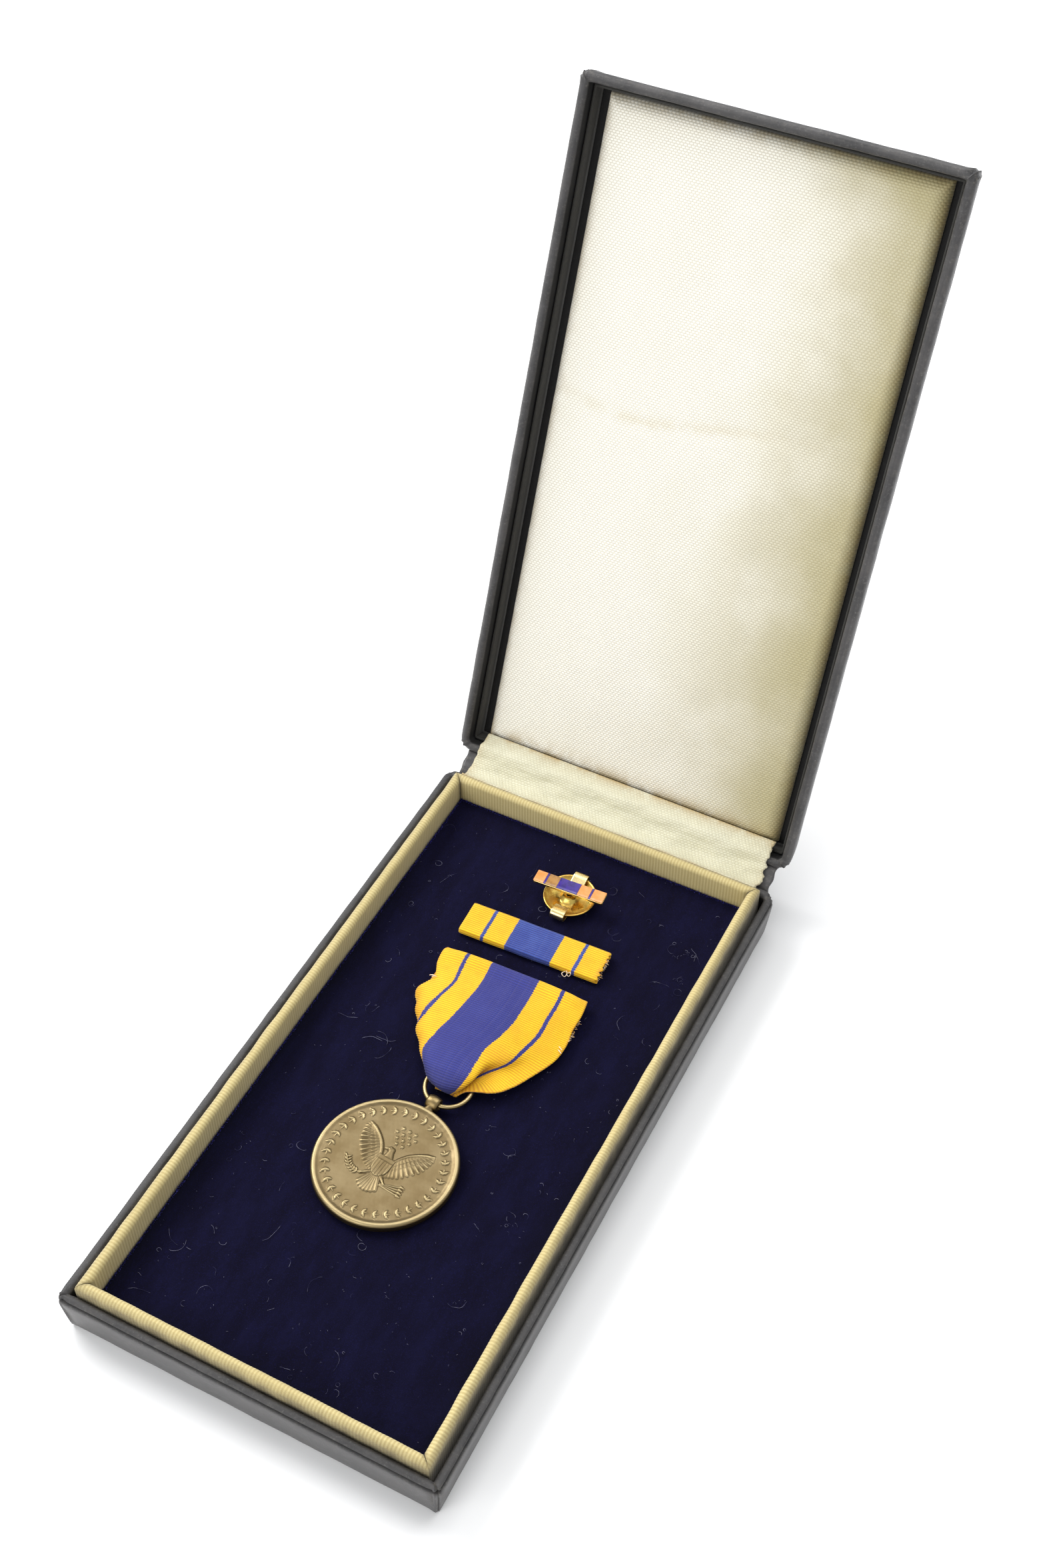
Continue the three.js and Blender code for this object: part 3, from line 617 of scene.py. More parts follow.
def outline(inset, along_x=60, along_y=110, per_corner=10):
    """The case's outline drawn in by inset, the hinge end's corners rounder; +Y is the hinge."""
    half_x, half_y = HALF_X - inset, HALF_Y - inset
    arcs = []
    for k, (sign_x, sign_y) in enumerate([(1, 1), (-1, 1), (-1, -1), (1, -1)]):
        radius = max((HINGE_RADIUS if sign_y > 0 else FREE_RADIUS) - inset, 0.12)
        angle = math.radians(90 * k) + np.linspace(0, math.pi / 2, per_corner + 1)
        arcs.append(np.column_stack([sign_x * (half_x - radius) + radius * np.cos(angle),
                                     sign_y * (half_y - radius) + radius * np.sin(angle)]))
    loop = []
    for k, arc in enumerate(arcs):
        steps = along_x if k % 2 == 0 else along_y
        share = (np.arange(1, steps) / steps)[:, None]
        loop += [arc, arc[-1] + (arcs[(k + 1) % 4][0] - arc[-1]) * share]
    return np.vstack(loop)


def outlines(section, *steps):
    """One outline for each (inset, z) point of a section."""
    return np.stack([np.column_stack([outline(inset, *steps), np.full(len(outline(inset, *steps)), z)])
                     for inset, z in section])


def fold_depth(xy, seed):
    """How far the wrapping sinks where it is pleated round the corners."""
    rng = np.random.default_rng(seed)
    sunk = np.zeros(len(xy))
    for sign_x in (-1, 1):
        for sign_y in (-1, 1):
            root = np.array([sign_x * (HALF_X - 3.2), sign_y * (HALF_Y - 3.2)])
            away = (xy - root) * [sign_x, sign_y]
            reach = np.hypot(*away.T)
            angle = np.degrees(np.arctan2(away[:, 1], away[:, 0]))
            near = np.clip((reach - 0.6) / 1.5, 0, 1) * (away.min(1) > -1.5)
            pleats = ((45, 0.36), (45 + rng.uniform(-20, -13), 0.20), (45 + rng.uniform(12, 19), 0.22))
            for centre, depth in pleats:
                across = reach * np.sin(np.radians(angle - centre))
                crease = np.exp(-(across / 0.22) ** 2) - 0.45 * np.exp(-((across - 0.42) / 0.24) ** 2)
                sunk += depth * crease * near
    return sunk


def wrapped_walls(section, seed):
    """Rings of the wrapping: points, shape, wear. Each section point is (inset, z)."""
    section = np.asarray(section, float)
    loops = outlines(section)
    tangent = np.gradient(section, axis=0)
    outward = np.column_stack([tangent[:, 1], -tangent[:, 0]])
    outward /= np.maximum(np.linalg.norm(outward, axis=1, keepdims=True), 1e-9)
    outer = loops[:, :, :2]
    direction = outer / np.maximum(np.abs(outer / [HALF_X, HALF_Y]).max(-1, keepdims=True), 1e-9)
    side_x = np.abs(outer[..., 0] / HALF_X) > np.abs(outer[..., 1] / HALF_Y)
    horizontal = np.where(side_x[..., None], np.sign(direction) * [1, 0], np.sign(direction) * [0, 1])
    waves = 0.05 * ripple(loops, 11, seed) + 0.03 * ripple(loops, 3.1, seed + 1)
    sunk = np.stack([fold_depth(loop[:, :2], seed) for loop in loops])
    amount = waves - sunk
    loops[..., :2] += horizontal * (-outward[:, 0, None] * amount)[..., None]
    loops[..., 2] += outward[:, 1, None] * amount
    wear = np.clip(sunk * 2.5, 0, 0.5) + 0.2 * (np.abs(outward[:, 0]) * np.abs(outward[:, 1]) * 2)[:, None]
    # painted shade: darker along the corner pleats
    soil = np.clip(np.abs(sunk) * 1.8, 0, 0.7)
    return loops, wear, soil


def make_base():
    foot = 1.1
    section = [
        (WALL, 0.0), (WALL, 3), (WALL, 6), (WALL, 9), (WALL, 10.8), (WALL - 0.08, 11.4), (WALL - 0.3, 11.78),
        (WALL - 0.62, 11.96), (1.3, 12.0), (0.95, 11.97), (0.62, 11.86), (0.45, 11.7), (0.44, 11.55),
        (0.62, 11.42), (0.86, 11.3), (0.9, 11.14), (0.66, 10.98), (0.3, 10.8), (0.14, 10.55), (0.06, 10.2),
        (0.08, 9.6), (0.14, 8.8), (0.3, 7.5), (0.5, 5.5), (0.72, 3.5),
        (0.9, 1.8), (foot - 0.06, 0.7), (foot + 0.12, 0.2), (foot + 0.5, 0.0)]
    loops, wear, soil = wrapped_walls(section, 11)
    loops[..., 2] = np.clip(loops[..., 2], 0, None)
    # painted shade: a dark line in the groove below the rim's outer edge, the inner walls painted dark and
    # the rim top a little darker
    crease = np.array([0.95 * math.exp(-((z - 11.2) / 0.5) ** 2) if inset < 1 else 0 for inset, z in section])
    shaded_faces = np.array([0.85 if inset == WALL else 0.38 * (z > 11.7) for inset, z in section])
    soil = np.maximum(soil, np.maximum(crease, shaded_faces)[:, None])
    faces = grid_faces(loops.shape[0], loops.shape[1], True, True)
    walls = make_piece("base_wrapping", loops, faces, LEATHERETTE, wear=wear, soil=soil)
    settle(walls, "case_base", "leatherette", "base_walls")

    columns, rows = 40, 70
    low, high = box_mm("base_floor")
    x, y = np.meshgrid(np.linspace(low[0], high[0], columns), np.linspace(low[1], high[1], rows))
    top = np.stack([x, y, np.full_like(x, high[2])], -1)
    sag = 0.12 * (1 + ripple(top, 30, 5)) * np.clip(4 * (1 - np.abs(x / high[0])), 0, 1)
    bottom = np.stack([x, y, low[2] + np.clip(sag, 0, 0.3)], -1)
    floor_piece = make_piece("base_floor_lined", *slab(top, bottom), LINING)
    settle(floor_piece, "case_base", "leatherette", "base_floor")


def make_lid_shell():
    inner = 7.4
    taper = 1.1
    inside = [(inset, inner) for inset in (41, 34, 26, 18, 10, 4.5, 2.7)]
    outside = [(inset, LID_DEPTH) for inset in (3.4, 5, 10, 18, 26, 34, 41)]
    section = inside + [
        (WALL, inner - 0.1), (WALL, 5.2), (WALL, 3.4), (WALL, 1.9), (WALL - 0.04, 1.0), (WALL - 0.16, 0.5),
        (WALL - 0.42, 0.18), (WALL - 0.8, 0.02), (1.15, 0.0), (0.8, 0.06), (0.46, 0.22), (0.2, 0.48),
        (0.05, 0.85), (0.02, 1.2), (0.22, 1.42), (0.38, 1.56), (0.22, 1.74), (0.12, 2.0), (0.16, 2.6),
        (0.36, 4.2), (0.62, 5.9), (0.86, 7.2),
        (taper, 8.0), (taper + 0.3, 8.4), (taper + 0.75, 8.68), (taper + 1.4, 8.79)] + outside
    loops, wear, soil = wrapped_walls(section, 23)

    def shaded(inset, depth):
        if inset < 1:
            return max(0.9 * math.exp(-((depth - 1.5) / 0.3) ** 2), 0.12)
        if 0.8 < depth <= inner and inset >= WALL - 0.05:
            return 0.85
        return 0.35 * (depth < 0.8 or depth > 8.5)

    soil = np.maximum(soil, np.array([shaded(*point) for point in section])[:, None])
    rings, count = loops.shape[:2]
    faces = cap_ends(grid_faces(rings, count, False, True), rings, count)
    shell = make_piece("lid_wrapping", loops, faces, LEATHERETTE, LID_PLACE, wear=wear, soil=soil)
    settle(shell, "lid", "leatherette", "lid_walls", "lid_panel")


def hinge_strip(name, path, thickness, half_width, material, ends, seed, rows=46, columns=150, lift=0.0,
                crease=0.0):
    """A strip of cloth or leatherette across the hinge, along a side path of (y, z) points."""
    line, run = along_path(path, rows)
    across = np.linspace(-1, 1, columns)
    left, right = ends
    edge = np.where(across[None, :] > 0, right(run / run[-1])[:, None], left(run / run[-1])[:, None])
    x = across[None, :] * (half_width + edge * np.abs(across[None, :]) ** 14)
    points = carried(x, line)
    normals = grid_normals(points)
    normals *= np.sign(normals[rows // 2, columns // 2, 2])
    free = np.sin(np.linspace(0, math.pi, rows))[:, None] ** 0.7
    flat = np.stack([x, np.broadcast_to(run[:, None], x.shape)], -1)
    waves = lift * ripple(flat * [1, 2.2], 13, seed)
    waves += crease * -np.abs(ripple(flat * [1.0, 2.6], 6.5, seed + 1))
    points += normals * (waves * free)[..., None]
    upper = points + normals * thickness / 2
    lower = points - normals * thickness / 2
    body, faces = slab(upper, lower)
    soiled = np.clip(np.abs(run[:, None] / run[-1] * 2 - 1) ** 6 + 0.55 * np.abs(across[None, :]) ** 30, 0, 1)
    return make_piece(name, body, faces, material, across=both(x + half_width),
                      along=both(np.broadcast_to(run[:, None], x.shape)), stain=both(0.9 * soiled),
                      wear=both(0.5 * soiled), tone=both(0.3 + 0 * soiled)), run[-1]


def lid_point(y, depth):
    """The (y, z) at rest of a point of the closed lid: y along the case, depth behind the rim."""
    place = LID_PLACE @ (Vector((0, y, depth)) * MM) / MM
    return place.y, place.z


def make_hinge():
    collar_back = box_mm("collar_back")[1]
    satin_path = [
        (collar_back[1] + 0.12, collar_back[2] - 1.6), (collar_back[1] + 0.35, collar_back[2] - 0.8),
        (HALF_Y - 1.1, RIM_Z + 0.75), (HALF_Y + 0.6, RIM_Z + 0.45), (PIVOT[1] - 0.6, RIM_Z + 0.65),
        (lid_point(HALF_Y, -0.7)[0], lid_point(HALF_Y + 0.2, -0.5)[1]),
        lid_point(HALF_Y - 1.2, -0.45), lid_point(HALF_Y - WALL - 0.4, 0.1),
        lid_point(HALF_Y - WALL - 1.6, 1.7), lid_point(HALF_Y - WALL - 2.9, 3.0)]

    def ragged(share):
        torn = 0.30 * ripple(share[:, None] * 20, 4.1, 33) + 0.18 * ripple(share[:, None] * 20, 1.3, 34)
        return torn + 0.6 * np.exp(-((share - 0.33) / 0.08) ** 2)

    def worn_in(share):
        return 0.25 * ripple(share[:, None] * 20, 3.0, 35) - 2.0 * np.clip(share - 0.35, 0, 1)

    band, length = hinge_strip("hinge_band", satin_path, 0.3, 38.9, BAND_SATIN, (worn_in, ragged), 31,
                               lift=0.26, crease=0.16)
    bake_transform(band)
    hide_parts("hinge_satin")

    spine_path = [
        (HALF_Y - 0.05, 7.6), (HALF_Y + 0.12, 9.4), (HALF_Y + 0.75, 10.7), (PIVOT[1] - 1.1, 11.5),
        (PIVOT[1] + 0.5, 12.2), (lid_point(HALF_Y, 0.5)[0] + 0.3, lid_point(HALF_Y + 0.5, 0.8)[1]),
        lid_point(HALF_Y + 0.25, 2.4), lid_point(HALF_Y - 0.1, 4.4), lid_point(HALF_Y - 0.45, 6.0)]
    even = lambda share: 0.2 + 0.3 * np.sin(share * 11) ** 2
    spine, length = hinge_strip("spine_strip", spine_path, 0.45, 41.0, LEATHERETTE, (even, even), 37,
                                lift=0.06, crease=0.05)
    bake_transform(spine)
    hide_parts("hinge_spine")


# ---- ribbed collars and velvet --------------------------------------------------------------
RIB_PITCH = 0.76


def make_collar(side, half, place, turn, seed):
    low, high = box_mm(f"collar_{side}")
    thickness = 2.4
    crown = thickness / 2
    foot, top = low[2], high[2]
    round_top = [(crown - crown * math.cos(a), top - crown + crown * math.sin(a))
                 for a in np.linspace(0, math.pi, 13)]
    heights = np.linspace(foot, top - crown, 7)[:-1]
    section = [(0.0, z) for z in heights] + round_top + [(thickness, z) for z in heights[::-1]]
    section = np.array(section)
    tangent = np.gradient(section, axis=0)
    outward = np.column_stack([-tangent[:, 1], tangent[:, 0]])
    outward /= np.linalg.norm(outward, axis=1, keepdims=True)
    steps = int(2 * half / RIB_PITCH * 7)
    x = np.linspace(-half, half, steps)
    phase = x / RIB_PITCH * 2 * math.pi + 0.7 * ripple(x[:, None], 14, seed)
    rib = 0.5 + 0.5 * np.cos(phase)
    limit = half - section[:, 0]
    stations = np.clip(x[:, None], -limit, limit)
    points = np.stack([stations, np.broadcast_to(section[:, 0], stations.shape),
                       np.broadcast_to(section[:, 1], stations.shape)], -1)
    swell = 0.036 * (rib[:, None] ** 0.8 - 0.6) + 0.07 * ripple(points, 9, seed + 1)
    near_end = np.clip((limit - np.abs(x[:, None])) / 0.5, 0, 1)
    swell = swell * (0.35 + 0.65 * near_end) - 0.05 * (1 - near_end)
    points[..., 1] += outward[:, 0] * swell
    points[..., 2] += outward[:, 1] * swell
    points[..., 2] = np.maximum(points[..., 2], foot)
    faces = grid_faces(steps, len(section), close_columns=True)
    ribs = np.broadcast_to(rib[:, None], stations.shape)
    # painted shade: darker low on the collar's outer face, low on its inner face beside the velvet, and
    # towards its mitred ends
    behind = points[..., 1] < crown
    low_edge = np.where(behind, np.clip((15.3 - points[..., 2]) / 1.9, 0, 1),
                        0.5 * np.clip((9.8 - points[..., 2]) / 1.7, 0, 1))
    soil = np.maximum(low_edge, 0.8 * (1 - np.clip((limit - np.abs(x[:, None])) / 1.2, 0, 1)))
    piece = make_piece(f"collar_{side}_cloth", points, faces, RIBBED, turned(place, turn), weld=True,
                       rib=ribs, soil=soil)
    settle(piece, "case_base", "ribbed_cloth", f"collar_{side}")


def make_collars():
    outer_x, outer_y = box_mm("collar_right")[1][0], box_mm("collar_back")[1][1]
    seam = 0.05
    make_collar("front", outer_x - seam, (0, -outer_y, 0), 0, 41)
    make_collar("right", outer_y - seam, (outer_x, 0, 0), 90, 43)
    make_collar("back", outer_x - seam, (0, outer_y, 0), 180, 45)
    make_collar("left", outer_y - seam, (-outer_x, 0, 0), 270, 47)


def velvet_height(points):
    """The nap's gentle rise and fall at (x, y), above the pad's flat top."""
    return 0.07 * ripple(points, 24, 51) + 0.035 * ripple(points, 5, 52) + 0.02 * ripple(points, 1.3, 53)


def make_velvet():
    low, high = box_mm("velvet_pad")
    columns, rows = 190, 380
    x, y = np.meshgrid(np.linspace(low[0], high[0], columns), np.linspace(low[1], high[1], rows))
    flat = np.stack([x, y], -1)
    edge = np.minimum(high[0] - np.abs(x), high[1] - np.abs(y))
    curl = 0.28 * np.exp(-edge / 0.7)
    top = np.stack([x, y, high[2] - 0.12 + velvet_height(flat) + curl], -1)
    bottom = np.stack([x, y, np.full_like(x, low[2])], -1)
    # painted shade: darker beside the collars, fading out towards the back end
    edge_shade = 0.75 * np.exp(-edge / 2.2) * np.clip((high[1] - 12 - y) / 20, 0, 1)
    pad = make_piece("velvet_cover", *slab(top, bottom), VELVET, soil=np.concatenate([edge_shade.ravel()] * 2))
    settle(pad, "case_base", "velvet", "velvet_pad")

    rng = np.random.default_rng(61)
    tufts = []
    for along, across, is_x in ((high[0], high[1], True), (high[1], high[0], False)):
        for sign in (-1, 1):
            count = int(2 * along / 0.15)
            for s in np.linspace(-along, along, count) + rng.uniform(-0.08, 0.08, count):
                inward = across - rng.uniform(0.0, 0.5)
                base = np.array([s, sign * inward] if is_x else [sign * inward, s])
                base = np.clip(base, low[:2] + 0.1, high[:2] - 0.1)
                tall = rng.uniform(0.45, 1.0)
                lean = rng.uniform(-0.3, 0.3, 2)
                angle = rng.uniform(0, 6.28) + np.arange(3) * 2.094
                foot = np.column_stack([base[0] + 0.07 * np.cos(angle), base[1] + 0.07 * np.sin(angle),
                                        np.full(3, high[2] - 0.1)])
                tip = [[base[0] + lean[0], base[1] + lean[1], high[2] + tall]]
                tufts.append((np.vstack([foot, tip]), [[0, 1, 2], [0, 3, 1], [1, 3, 2], [2, 3, 0]]))
    fringe = make_piece("velvet_edge_pile", *gather(tufts), PILE)
    settle(fringe, "case_base", "velvet")


def make_lint():
    """Curled hairs and specks of dust on the velvet."""
    low, high = box_mm("velvet_pad")
    rng = np.random.default_rng(71)
    hairs = []
    spots = rng.uniform([low[0] + 3, low[1] + 3], [high[0] - 3, high[1] - 3], (150, 2))
    tangles = [((31, 58), 9), ((34, 50), 6), ((-26, 12), 4), ((28, -22), 7), ((-30, -60), 5)]
    spots = np.vstack([spots] + [rng.normal(centre, 1.6, (count, 2)) for centre, count in tangles])
    specks = rng.uniform([low[0] + 1, low[1] + 1], [high[0] - 1, high[1] - 1], (420, 2))
    for index, start in enumerate(np.vstack([spots, specks])):
        if index < len(spots):
            steps, length = 16, rng.choice([1.2, 2.4, 5.0], p=[0.45, 0.35, 0.2])
        else:
            steps, length = 4, rng.uniform(0.12, 0.5)
        heading = rng.uniform(0, 2 * math.pi)
        curl = rng.normal(0, 0.22)
        path = [np.array(start)]
        for _ in range(steps):
            heading += curl + rng.normal(0, 0.12)
            path.append(path[-1] + length / steps * np.array([math.cos(heading), math.sin(heading)]))
        path = np.clip(np.array(path), low[:2] + 0.5, high[:2] - 0.5)
        rise = 0.08 + 0.22 * rng.random() * np.sin(np.linspace(0, math.pi, steps + 1))
        z = high[2] + velvet_height(path) + rise
        hairs.append(tube(np.column_stack([path, z]), 0.028, 3))
    settle(make_piece("velvet_lint", *gather(hairs), LINT), "case_base", "velvet")


# ---- the lid's satin pad --------------------------------------------------------------------
def puffed(grid, cap, pressure=4.0):
    """Swells a closed pad by cloth simulation and returns how far each grid point moved up."""
    upper, lower = grid
    start = make_piece("pad_to_puff", *slab(upper, lower), PAD_SATIN)
    remesh = start.modifiers.new("voxels", "REMESH")
    remesh.mode = "VOXEL"
    remesh.voxel_size = 2.0 * MM
    bpy.context.view_layer.objects.active = start
    bpy.ops.object.modifier_apply(modifier="voxels")
    before = np.array([v.co for v in start.data.vertices])
    pinned = start.vertex_groups.new(name="pinned")
    half_x, half_y = np.abs(before[:, 0]).max(), np.abs(before[:, 1]).max()
    mid = (before[:, 2].min() + before[:, 2].max()) / 2
    edge = np.minimum(half_x - np.abs(before[:, 0]), half_y - np.abs(before[:, 1]))
    held = np.flatnonzero((before[:, 2] > mid) | (edge < 1.0 * MM))
    pinned.add(held.tolist(), 1.0, "REPLACE")
    cloth = start.modifiers.new("cloth", "CLOTH")
    cloth.settings.use_pressure = True
    cloth.settings.uniform_pressure_force = pressure
    cloth.settings.vertex_group_mass = "pinned"
    cloth.settings.tension_stiffness = 22
    cloth.settings.compression_stiffness = 22
    cloth.settings.effector_weights.gravity = 0
    scene = bpy.context.scene
    for step in range(1, 21):
        scene.frame_set(step)
    swollen = start.evaluated_get(bpy.context.evaluated_depsgraph_get()).to_mesh()
    after = np.array([v.co for v in swollen.vertices])
    scene.frame_set(1)
    front = before[:, 2] < mid
    xy = before[front][:, :2] / MM
    rise = np.clip((before[front][:, 2] - after[front][:, 2]) / MM, 0, cap)
    bpy.data.objects.remove(start)
    # the nearest simulated points, weighed by distance, give the rise at each grid point
    tree = KDTree(len(xy))
    for index, point in enumerate(xy):
        tree.insert((point[0], point[1], 0), index)
    tree.balance()
    moved = np.zeros(upper.shape[:2])
    for i in range(upper.shape[0]):
        for j in range(upper.shape[1]):
            found = tree.find_n((upper[i, j, 0], upper[i, j, 1], 0), 5)
            weights = np.array([1 / (distance + 0.3) ** 2 for _, _, distance in found])
            moved[i, j] = (weights * rise[[index for _, index, _ in found]]).sum() / weights.sum()
    return moved


def make_lid_pad():
    reach_x, reach_y = HALF_X - WALL - 3.0, HALF_Y - WALL - 1.4
    face, back = 3.75, 7.1
    columns, rows = 84, 160
    t_x, t_y = np.linspace(-1, 1, columns), np.linspace(-1, 1, rows)
    spread = lambda t: np.sign(t) * (1 - (1 - np.abs(t)) ** 1.35)
    x, y = np.meshgrid(spread(t_x) * reach_x, spread(t_y) * reach_y)
    front = np.stack([x, y, np.full_like(x, face)], -1)
    rear = np.stack([x, y, np.full_like(x, back)], -1)
    rise = puffed((front, rear), 0.75)
    edge = np.minimum(reach_x - np.abs(x), reach_y - np.abs(y))
    around = np.where(reach_x - np.abs(x) < reach_y - np.abs(y), y, x)
    pucker = 0.16 * ripple(around[..., None], 5.5, 82) * np.exp(-edge / 3.0) * (1 - np.exp(-edge / 0.5))
    waves = 0.10 * ripple(front * [1, 0.6, 1], 26, 83) + 0.05 * ripple(front, 9, 84)
    roll = 3.2
    at_hinge = np.clip((y - reach_y + 6) / 5, 0, 1) * np.clip((reach_x - np.abs(x)) / 4, 0, 1)
    tuck = roll * (1 - np.sqrt(1 - np.clip(1 - edge / roll, 0, 1) ** 2)) * (1 - 0.72 * at_hinge)
    sag = 0.16 * np.exp(-((y + 14 + 3 * np.sin(x / 13)) / 2.4) ** 2)
    front[..., 2] += tuck - rise - pucker + waves * (1 - np.exp(-edge / 4)) + sag
    front[..., 2] = np.minimum(front[..., 2], back - 0.4)
    crease = np.exp(-((y + 14 + 3 * np.sin(x / 13)) / 1.3) ** 2)
    crease *= np.clip(0.5 + 0.5 * np.sin(x / 17 + 2), 0, 1)
    lower_end = np.clip((y - reach_y + 7) / 7, 0, 1) ** 2
    stain = np.clip(0.9 * lower_end + 0.24 * crease + 0.7 * np.exp(-edge / 1.3), 0, 1)
    # painted shade: darker towards the right side and along the lid's free end
    to_right = np.clip((x + 12) / (reach_x + 12), 0, 1)
    tone = 0.9 * to_right ** 1.5 + 0.35 * np.exp(-(y + reach_y) / 6) * (0.4 + 0.6 * to_right)
    pad = make_piece("lid_satin_pad", *slab(front, rear), PAD_SATIN, LID_PLACE, across=both(x), along=both(y),
                     stain=both(stain), tone=both(tone))
    subdivide = pad.modifiers.new("fine", "SUBSURF")
    subdivide.levels = subdivide.render_levels = 1
    settle(pad, "lid", "satin", "lid_pad")


def make_lid_trim():
    """The lining paper round the lid's inner wall, beside the pad."""
    across = [(0.30, 3.05), (0.34, 2.98), (0.6, 2.95), (0.86, 2.98), (0.9, 3.05), (0.9, 4.4), (0.9, 5.8),
              (0.9, 7.1), (0.6, 7.14), (0.30, 7.1), (0.30, 5.8), (0.30, 4.4)]
    section = [(WALL + inset, depth) for inset, depth in across]
    loops = outlines(section, 90, 160, 6)
    loops[..., 2] += 0.05 * ripple(loops, 20, 91)
    faces = grid_faces(*loops.shape[:2], True, True)
    piece = make_piece("lid_trim_edge", loops, faces, TRIM, LID_PLACE)
    settle(piece, "lid", "piping", "lid_trim")


# ---- ribbon ---------------------------------------------------------------------------------
RIBBON_PITCH = 0.56
RIBBON_WIDTH = 34.9
DRAPE_TURN = 1.6
DRAPE_TOP = np.array([0.2, 32.9])
# The draped ribbon, front layer first: how far along the cloth each row is, then points at
# eleven even steps from the left selvedge to the right one, about the drape's top edge.
DRAPE_ROWS = [
    (0.0, [
        (-17.8, -0.3, 10.7), (-14.2, 0.0, 11.2), (-10.7, 0.1, 11.4), (-7.1, 0.2, 11.4),
        (-3.6, 0.2, 11.4), (0.0, 0.2, 11.4), (3.6, 0.2, 11.4), (7.2, 0.2, 11.4), (10.8, 0.1, 11.4),
        (14.4, 0.0, 11.2), (17.9, -0.4, 10.7)]),
    (4.5, [
        (-17.7, -4.3, 10.9), (-14.2, -4.3, 11.4), (-10.5, -4.3, 11.8), (-6.9, -4.3, 11.9),
        (-3.4, -4.3, 12.0), (0.1, -4.3, 12.0), (3.7, -4.3, 11.9), (7.4, -4.3, 11.8),
        (11.1, -4.3, 11.7), (14.8, -4.2, 11.3), (18.3, -4.0, 10.8)]),
    (9.0, [
        (-16.4, -8.5, 10.7), (-13.4, -8.7, 11.8), (-10.1, -8.7, 12.2), (-6.7, -8.7, 12.5),
        (-3.2, -8.7, 12.7), (0.3, -8.7, 12.7), (3.8, -8.7, 12.5), (7.4, -8.7, 12.2),
        (11.0, -8.6, 11.8), (14.7, -8.4, 11.2), (18.1, -8.1, 10.5)]),
    (14.0, [
        (-18.5, -13.2, 10.3), (-14.9, -13.6, 11.5), (-11.1, -13.7, 12.3), (-7.4, -13.7, 12.8),
        (-3.8, -13.7, 13.1), (-0.1, -13.7, 13.2), (3.6, -13.7, 13.0), (7.3, -13.6, 12.4),
        (11.0, -13.4, 11.8), (14.8, -13.1, 11.0), (18.5, -12.7, 10.2)]),
    (19.0, [
        (-15.8, -16.6, 8.9), (-15.9, -18.3, 10.7), (-12.0, -18.6, 12.2), (-8.2, -18.7, 13.0),
        (-4.6, -18.7, 13.3), (-0.9, -18.7, 13.4), (2.8, -18.6, 13.3), (6.4, -18.3, 12.9),
        (10.0, -18.0, 12.0), (13.9, -17.4, 10.9), (17.8, -17.2, 10.0)]),
    (24.0, [
        (-9.8, -19.6, 8.9), (-12.4, -21.4, 9.0), (-13.2, -23.2, 11.0), (-9.4, -23.6, 12.7),
        (-5.8, -23.7, 13.3), (-2.2, -23.7, 13.5), (1.4, -23.6, 13.5), (5.0, -23.4, 13.3),
        (8.7, -23.5, 12.4), (11.4, -22.5, 10.9), (15.2, -22.9, 10.2)]),
    (28.5, [
        (-4.2, -22.6, 10.0), (-7.2, -24.6, 10.1), (-9.6, -26.4, 10.4), (-9.7, -27.9, 11.6),
        (-6.6, -28.3, 13.0), (-3.1, -28.3, 13.4), (0.5, -28.2, 13.5), (4.9, -28.7, 13.2),
        (5.3, -27.0, 11.3), (8.8, -26.7, 10.8), (12.6, -27.7, 10.5)]),
    (32.5, [
        (1.4, -27.8, 10.7), (-1.7, -29.2, 10.7), (-4.4, -30.4, 10.9), (-6.6, -31.3, 11.4),
        (-6.0, -32.0, 12.3), (-3.0, -32.3, 12.8), (0.4, -32.2, 12.9), (4.3, -31.5, 12.5),
        (3.7, -30.0, 11.1), (6.2, -29.4, 10.9), (9.4, -31.0, 10.8)]),
    (35.4, [
        (2.6, -32.2, 10.3), (0.8, -33.0, 10.3), (-1.6, -33.6, 10.4), (-3.7, -34.0, 10.7),
        (-3.9, -34.2, 11.3), (-2.0, -34.9, 11.7), (0.4, -34.8, 11.7), (2.9, -33.6, 11.3),
        (2.4, -32.1, 10.7), (3.5, -31.3, 10.7), (4.3, -33.0, 10.7)])]


def ribbon_surface():
    """Grid of the whole ribbon: front layer, round through the ring, and up the back."""
    knots = [distance for distance, _ in DRAPE_ROWS]
    rows = [np.array(row, float) for _, row in DRAPE_ROWS]
    share = np.linspace(-1, 1, 11)
    for extra, half, y, z in ((2.4, 2.5, -34.3, 9.5), (2.2, 2.7, -32.9, 8.7), (4.6, 3.4, -28.6, 8.62),
                              (8.0, 9.5, -21.5, 8.62), (9.0, 16.6, -12.6, 8.62), (11.5, 17.3, -1.6, 8.66)):
        knots.append(knots[-1] + extra)
        rows.append(np.column_stack([share * half, np.full(11, y), np.full(11, z)]))
    # round the brooch's top edge, back to where the front layer starts
    knots = [-2.6, -1.3] + knots
    rows = [np.column_stack([share * 17.3, np.full(11, -0.1), np.full(11, 8.9)]),
            np.column_stack([share * 17.6, np.full(11, 0.55), np.full(11, 9.9)])] + rows
    return np.array(knots, float), np.array(rows)


